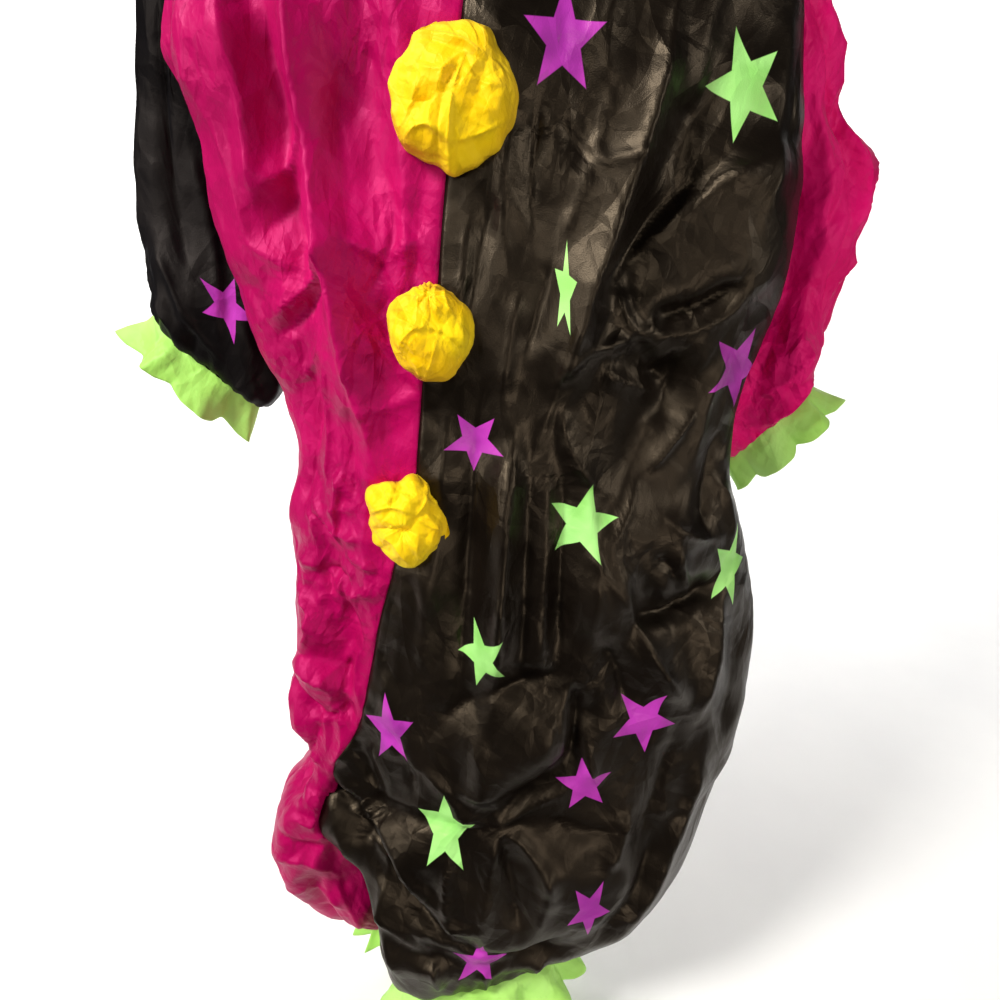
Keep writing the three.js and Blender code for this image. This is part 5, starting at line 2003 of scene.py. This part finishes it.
def star_group() -> bpy.types.NodeTree:
    """A mask of one star with five points on the cloth's flat coordinates."""
    inputs = {"Vector": "Vector", "Centre": "Vector", "Size": "Vector", "Turn": "Float"}
    wiring = new_group("star_print", inputs, {"Mask": "Float"})
    given = wiring.tree.nodes["in"].outputs
    away = wiring.vector("SUBTRACT", given["Vector"], given["Centre"])
    flat = wiring.node("ShaderNodeSeparateXYZ")
    wiring.put(flat, Vector=wiring.vector("DIVIDE", away, given["Size"]))
    x, y = flat.outputs["X"], flat.outputs["Y"]
    angle = wiring.maths("SUBTRACT", wiring.maths("ARCTAN2", x, y), given["Turn"])
    folded = wiring.maths("PINGPONG", angle, math.pi / 5)
    squares = [wiring.maths("POWER", value, 2.0) for value in (x, y)]
    length = wiring.maths("SQRT", wiring.maths("ADD", *squares))
    step = complex(STAR_NOTCH * math.cos(math.pi / 5) - 1, STAR_NOTCH * math.sin(math.pi / 5))
    lean = math.atan2(-step.real, step.imag)
    reach = math.cos(lean)
    beside = wiring.maths("COSINE", wiring.maths("SUBTRACT", folded, lean))
    outside = wiring.maths("MULTIPLY", length, beside)
    mask = wiring.range(outside, reach - STAR_EDGE, reach + STAR_EDGE, 1.0, 0.0)
    wiring.put(wiring.tree.nodes["out"], Mask=mask)
    return wiring.tree


@dataclass(frozen=True)
class NylonFinish:
    """Glossy crinkled nylon.

    Attributes:
        name: The material's name.
        colour: Its colour.
        painted_lit_colour: A paler copy of its colour, painted in as light in patches.
        painted_sheen: A painted sheen: the colour mixed into its base colour at a glancing angle.
        painted_sheen_strength: How much of that.
        roughness: How rough it is where smooth.
        crinkle: How deep the fine creases are, in metres.
        gloss: Specular level.
        tint: The colour of its highlights.
        fineness: How small its fine creases are, by their usual size.
    """

    name: str
    colour: str
    painted_lit_colour: str
    painted_sheen: str
    painted_sheen_strength: float
    roughness: float
    crinkle: float = 0.0085
    gloss: float = 0.4
    tint: str = "FFFFFF"
    fineness: float = 1.0


FINISHES = {
    "magenta": NylonFinish(
        "nylon_magenta", "A2004E", "B40258", "FF4A9A", 0.05, 0.44, 0.007, 0.6, "FF68B0"
    ),
    # Painted light: the left sleeve's magenta is a brighter copy of the body's, painting in light
    # that the sleeve lacks.
    "magenta_sleeve_painted_lit": NylonFinish(
        "nylon_magenta_sleeve_painted_lit", "DC0064", "EC1074", "FF5AA0", 0.05, 0.44, 0.012, 0.6, "FF68B0"
    ),
    "black": NylonFinish(
        "nylon_black", "080504", "100B08", "6A5440", 0.02, 0.36, 0.009, 0.42, "F0D8B8", 0.5
    ),
    "black_sleeve": NylonFinish(
        "nylon_black_sleeve", "070607", "0C0A0B", "5A5A70", 0.02, 0.42, 0.009, 0.14, "E8D8D0", 0.55
    ),
    "green": NylonFinish("nylon_green", "A6E264", "BCF282", "E8FFB0", 0.1, 0.5, 0.007, 0.3),
    "yellow": NylonFinish(
        "nylon_yellow", "FFCC00", "FFE010", "FFFAC0", 0.08, 0.5, 0.01, 0.4, "FFF0A0"
    ),
    "band": NylonFinish("nylon_band", "0C0A0A", "151211", "80705C", 0.1, 0.45),
}
# Each ink's colour as painted lit, and as painted in shade.
STAR_COLOURS = {"purple": ("C23CBC", "9A2A98"), "green": ("AEF28C", "94DC70")}

FRONT_STARS = (
    Star("purple", 57, -238, 72, 84, 2),
    Star("green", 232, -268, 76, 93, -19),
    Star("green", 61, -452, 20, 84, 8),
    Star("purple", 257, -535, 72, 84, 24),
    Star("purple", -26, -604, 62, 62, 40),
    Star("green", 90, -696, 76, 82, 12),
    Star("green", 274, -774, 48, 99, 14),
    Star("green", -20, -853, 56, 84, -20),
    Star("purple", -133, -968, 60, 98, -2),
    Star("purple", 174, -951, 78, 84, 30),
    Star("purple", 105, -1035, 68, 70, -6),
    Star("green", -66, -1098, 72, 106, 2),
    Star("purple", 116, -1214, 56, 96, 28),
    Star("purple", -26, -1302, 71, 74, 10),
)
SLEEVE_STARS = (Star("purple", -322, -478, 62, 64, 22),)
BACK_STARS = (
    Star("green", 120, -210, 84, 88, 10),
    Star("purple", 232, -352, 74, 86, -18),
    Star("purple", 58, -402, 84, 86, 30),
    Star("green", 178, -498, 80, 88, -8),
    Star("purple", 30, -620, 80, 86, 12),
    Star("green", 236, -668, 62, 88, 24),
    Star("green", -20, -812, 70, 84, -16),
    Star("purple", 148, -790, 86, 88, 4),
    Star("purple", 250, -930, 62, 88, -24),
    Star("green", 64, -975, 86, 90, 18),
    Star("purple", -96, -1042, 66, 86, -6),
    Star("green", 196, -1112, 76, 86, 14),
    Star("purple", 30, -1170, 82, 84, -20),
    Star("green", -92, -1240, 70, 84, 8),
    Star("purple", 112, -1288, 70, 76, 26),
)
BODY_STARS = {Face.FRONT: FRONT_STARS, Face.BACK: BACK_STARS}


def linear(code: str) -> tuple[float, float, float, float]:
    """A colour's linear values, from its six hexadecimal digits."""
    parts = [int(code[i : i + 2], 16) / 255 for i in (0, 2, 4)]
    return (*((p / 12.92 if p <= 0.04045 else ((p + 0.055) / 1.055) ** 2.4) for p in parts), 1.0)


@dataclass
class Wardrobe:
    """Makes the materials, which share two node groups."""

    def __post_init__(self) -> None:
        """Makes the shared groups."""
        self.crinkle = crinkle_group()
        self.star = star_group()

    def nylon(
        self,
        finish: NylonFinish,
        name: str = "",
        stars: Sequence[Printed] = (),
    ) -> bpy.types.Material:
        """One material.

        Args:
            finish: Its values.
            name: The material's name, if not the finish's own.
            stars: Each star, with its centre and half its size on the cloth, in metres.

        Returns:
            The material.
        """
        material = bpy.data.materials.new(name or finish.name)
        material.use_nodes = True
        wiring = Wiring(material.node_tree)
        shader = material.node_tree.nodes["Principled BSDF"]
        place = wiring.node("ShaderNodeTexCoord").outputs["Object"]
        crinkle = wiring.node("ShaderNodeGroup", node_tree=self.crinkle)
        wiring.put(crinkle, Vector=place, Fineness=finish.fineness)
        # Painted light: a paler copy of the colour is mixed in where the noise tone is high.
        worn = wiring.range(crinkle.outputs["Tone"], 0.38, 0.68, 0.0, 1.0)
        colour = wiring.mix(worn, linear(finish.colour), linear(finish.painted_lit_colour))
        if stars:
            colour = self._printed(wiring, colour, stars)
        # Painted sheen: a paler colour is mixed into the base colour at a glancing angle.
        weight = wiring.node("ShaderNodeLayerWeight")
        wiring.put(weight, Blend=0.35)
        painted_sheen_share = wiring.maths("MULTIPLY", weight.outputs["Facing"], finish.painted_sheen_strength)
        colour = wiring.mix(painted_sheen_share, colour, linear(finish.painted_sheen))
        smoothest, roughest = finish.roughness, finish.roughness + 0.1
        rough = wiring.range(crinkle.outputs["Tone"], 0.3, 0.7, smoothest, roughest)
        bump = wiring.node("ShaderNodeBump")
        wiring.put(bump, Strength=1.0, Distance=finish.crinkle, Height=crinkle.outputs["Height"])
        wiring.put(shader, Base_Color=colour, Roughness=rough, Normal=bump.outputs["Normal"])
        wiring.put(shader, Specular_IOR_Level=finish.gloss, Specular_Tint=linear(finish.tint))
        return material

    def _printed(
        self, wiring: Wiring, colour: bpy.types.NodeSocket, stars: Sequence[Printed]
    ) -> bpy.types.NodeSocket:
        """The cloth's colour with the stars printed on it.

        Args:
            wiring: The material's wiring.
            colour: The cloth's colour.
            stars: Each star, with its centre and half its size on the cloth, in metres.

        Returns:
            The colour of the printed cloth.
        """
        flat = wiring.node("ShaderNodeUVMap", uv_map="Flat").outputs["UV"]
        place = wiring.node("ShaderNodeTexCoord").outputs["Object"]
        # Painted light and shade: each ink runs from its lit colour to its shaded one in patches
        # by noise.
        shade = wiring.range(wiring.noise(place, 22.0, 2.0), 0.35, 0.7, 0.0, 1.0)
        for name, (bright, deep) in STAR_COLOURS.items():
            mask = 0.0
            for star, centre, size in stars:
                if star.colour != name:
                    continue
                one = wiring.node("ShaderNodeGroup", node_tree=self.star)
                wiring.put(one, Vector=flat, Centre=(*centre, 0.0), Size=(*size, 1.0))
                wiring.put(one, Turn=math.radians(star.turn))
                mask = wiring.maths("MAXIMUM", mask, one.outputs["Mask"])
            ink = wiring.mix(shade, linear(bright), linear(deep))
            colour = wiring.mix(mask, colour, ink)
        return colour


# The costume and the studio


@dataclass
class Costume:
    """The whole garment."""

    form: BodyForm = field(default_factory=BodyForm)
    wardrobe: Wardrobe = field(default_factory=Wardrobe)

    def build(self) -> None:
        """Makes every piece."""
        body = Body(self.form)
        sleeves = {
            Side.RIGHT: Sleeve(Side.RIGHT, self.form, "black", Cut(0.52, 0.49, 0.22), 0.8, 0.8),
            Side.LEFT: Sleeve(Side.LEFT, self.form, "magenta", Cut(0.52, 0.54, 0.245), 0.9, 2.2),
        }
        body.lay()
        body.build(self._panel_materials(body), [sleeve.armhole for sleeve in sleeves.values()])
        nylon = self.wardrobe.nylon
        green, yellow = nylon(FINISHES["green"]), nylon(FINISHES["yellow"])
        printed = [sleeves[Side.RIGHT].printed(star) for star in SLEEVE_STARS]
        worn = {
            Side.RIGHT: nylon(FINISHES["black_sleeve"], stars=printed),
            Side.LEFT: nylon(FINISHES["magenta_sleeve_painted_lit"]),
        }
        wrists = {side: sleeve.build(worn[side]) for side, sleeve in sleeves.items()}
        for side, frill in ANKLE_FRILLS.items():
            frill.build(body.hem(side), np.array([0.0, 0.0, -1.0]), green)
        for side, frill in WRIST_FRILLS.items():
            frill.build(wrists[side], sleeves[side].axis(), green)
        NeckBand().build(body.neck(), nylon(FINISHES["band"]))
        for pompon in POMPONS:
            pompon.build(self.form, yellow)

    def _panel_materials(self, body: Body) -> dict[str, bpy.types.Material]:
        """Each panel's material, with its own stars on the black ones.

        Args:
            body: The body, with its points laid.

        Returns:
            The materials, by the panels' names.
        """
        magenta = self.wardrobe.nylon(FINISHES["magenta"])
        materials = {plan.name: magenta for plan in PANELS}
        for plan in PANELS:
            if plan.side is Side.LEFT:
                printed = [body.printed(plan, star) for star in BODY_STARS[plan.face]]
                name = f"nylon_black_{plan.face.name.lower()}"
                materials[plan.name] = self.wardrobe.nylon(FINISHES["black"], name, printed)
        return materials


Place = tuple[float, float, float]


@dataclass(frozen=True)
class RoundLight:
    """A large soft light that points at a place.

    Attributes:
        name: Its name.
        place: Where it stands, in metres.
        target: Where it points.
        size: How wide it is.
        power: How strong it is, in watts.
        colour: Its colour.
    """

    name: str
    place: Place
    target: Place
    size: float
    power: float
    colour: Place = (1.0, 1.0, 1.0)

    def build(self) -> None:
        """Sets the light up."""
        bpy.ops.object.light_add(type="AREA", location=self.place)
        light = bpy.context.object
        light.name = self.name
        light.data.shape = "DISK"
        light.data.size = self.size
        light.data.energy = self.power
        light.data.color = self.colour
        aim = Vector(self.target) - Vector(self.place)
        light.rotation_euler = aim.to_track_quat("-Z", "Y").to_euler()


LIGHTS = (
    RoundLight("key", (-2.0, -1.7, 1.5), (0.0, 0.0, -0.7), 0.9, 124.0, (1.0, 0.97, 0.92)),
    RoundLight("side", (-2.0, -1.3, -0.35), (0.0, 0.0, -0.8), 0.5, 12.0, (1.0, 0.96, 0.9)),
    RoundLight("front", (-0.5, -2.6, 0.2), (0.0, 0.0, -0.8), 0.5, 12.0, (1.0, 0.94, 0.86)),
    RoundLight("fill", (2.4, -1.4, -0.1), (0.0, 0.0, -0.8), 0.8, 20.0, (1.0, 0.95, 0.88)),
    RoundLight("low", (0.9, -1.9, -1.1), (0.0, 0.0, -0.9), 0.5, 9.0, (1.0, 0.92, 0.84)),
    RoundLight("backdrop_right", (-1.6, 0.9, 0.6), (-1.0, 2.9, -0.6), 1.0, 36.0),
    RoundLight("backdrop_left", (1.6, 0.9, 0.6), (1.0, 2.9, -0.6), 1.0, 36.0),
)


@dataclass
class Studio:
    """The camera, the lights and a plain pale floor that runs up into a backdrop, in metres.

    Attributes:
        floor: The floor's level.
        width: How wide the floor is.
        front: How far it runs in front of the garment.
        depth: How far behind the garment the backdrop rises.
        radius: The radius of the curve between them.
        rise: How high the backdrop goes on above the curve.
        eye: Where the camera stands.
        looking_down: How far it is tilted down, in degrees.
        lens: Its focal length in millimetres, on a film 36 mm wide.
    """

    floor: float = -1.52
    width: float = 6.2
    front: float = 0.3
    depth: float = 1.6
    radius: float = 0.9
    rise: float = 3.0
    eye: Place = (0.0, -0.85, -0.43)
    looking_down: float = 18.0
    lens: float = 25.92

    def build(self) -> None:
        """Sets up the studio."""
        self._backdrop()
        for light in LIGHTS:
            light.build()
        world = bpy.data.worlds.new("pale_room")
        world.use_nodes = True
        wiring, background = Wiring(world.node_tree), world.node_tree.nodes["Background"]
        wiring.put(background, Color=(0.92, 0.95, 1.0, 1.0), Strength=0.03)
        bpy.context.scene.world = world
        bpy.ops.object.camera_add(location=self.eye)
        camera = bpy.context.object
        camera.rotation_euler = (math.radians(90 - self.looking_down), 0.0, 0.0)
        camera.data.sensor_width = 36.0
        camera.data.lens = self.lens
        bpy.context.scene.camera = camera

    def _backdrop(self) -> None:
        """A floor with a curved rise at its back."""
        bpy.ops.mesh.primitive_grid_add(
            x_subdivisions=2, y_subdivisions=60, size=1, location=(0, 0, self.floor)
        )
        floor = bpy.context.object
        floor.name = "floor"
        bend, quarter = self.front + self.depth, self.radius * math.pi / 2
        for vertex in floor.data.vertices:
            run = (vertex.co.y + 0.5) * (bend + quarter + self.rise)
            turned = min(max((run - bend) / self.radius, 0.0), math.pi / 2)
            vertex.co.x *= self.width
            vertex.co.y = min(run, bend) - self.front + self.radius * math.sin(turned)
            beyond = max(run - bend - quarter, 0.0)
            vertex.co.z = self.radius * (1 - math.cos(turned)) + beyond
        bpy.ops.object.shade_smooth()
        material = bpy.data.materials.new("pale_floor")
        material.use_nodes = True
        wiring = Wiring(material.node_tree)
        place = wiring.node("ShaderNodeTexCoord").outputs["Object"]
        tone = wiring.range(wiring.noise(place, 3.0, 4.0), 0.3, 0.7, 0.0, 1.0)
        colour = wiring.mix(tone, (0.93, 0.93, 0.93, 1), (0.96, 0.96, 0.955, 1))
        wiring.put(material.node_tree.nodes["Principled BSDF"], Base_Color=colour, Roughness=0.75)
        floor.data.materials.append(material)
        floor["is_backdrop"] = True


def main() -> None:
    """Builds the costume and its studio, and works out the sizes."""
    bpy.context.scene.view_settings.view_transform = "Standard"
    logging.basicConfig(level=logging.INFO, format="%(message)s")
    Costume().build()
    Studio().build()
    boxes = {"cad": CAD_BOX, "visual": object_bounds()}
    sizes = {name: [list(corner) for corner in box] for name, box in boxes.items()}


if __name__ == "__main__":
    main()
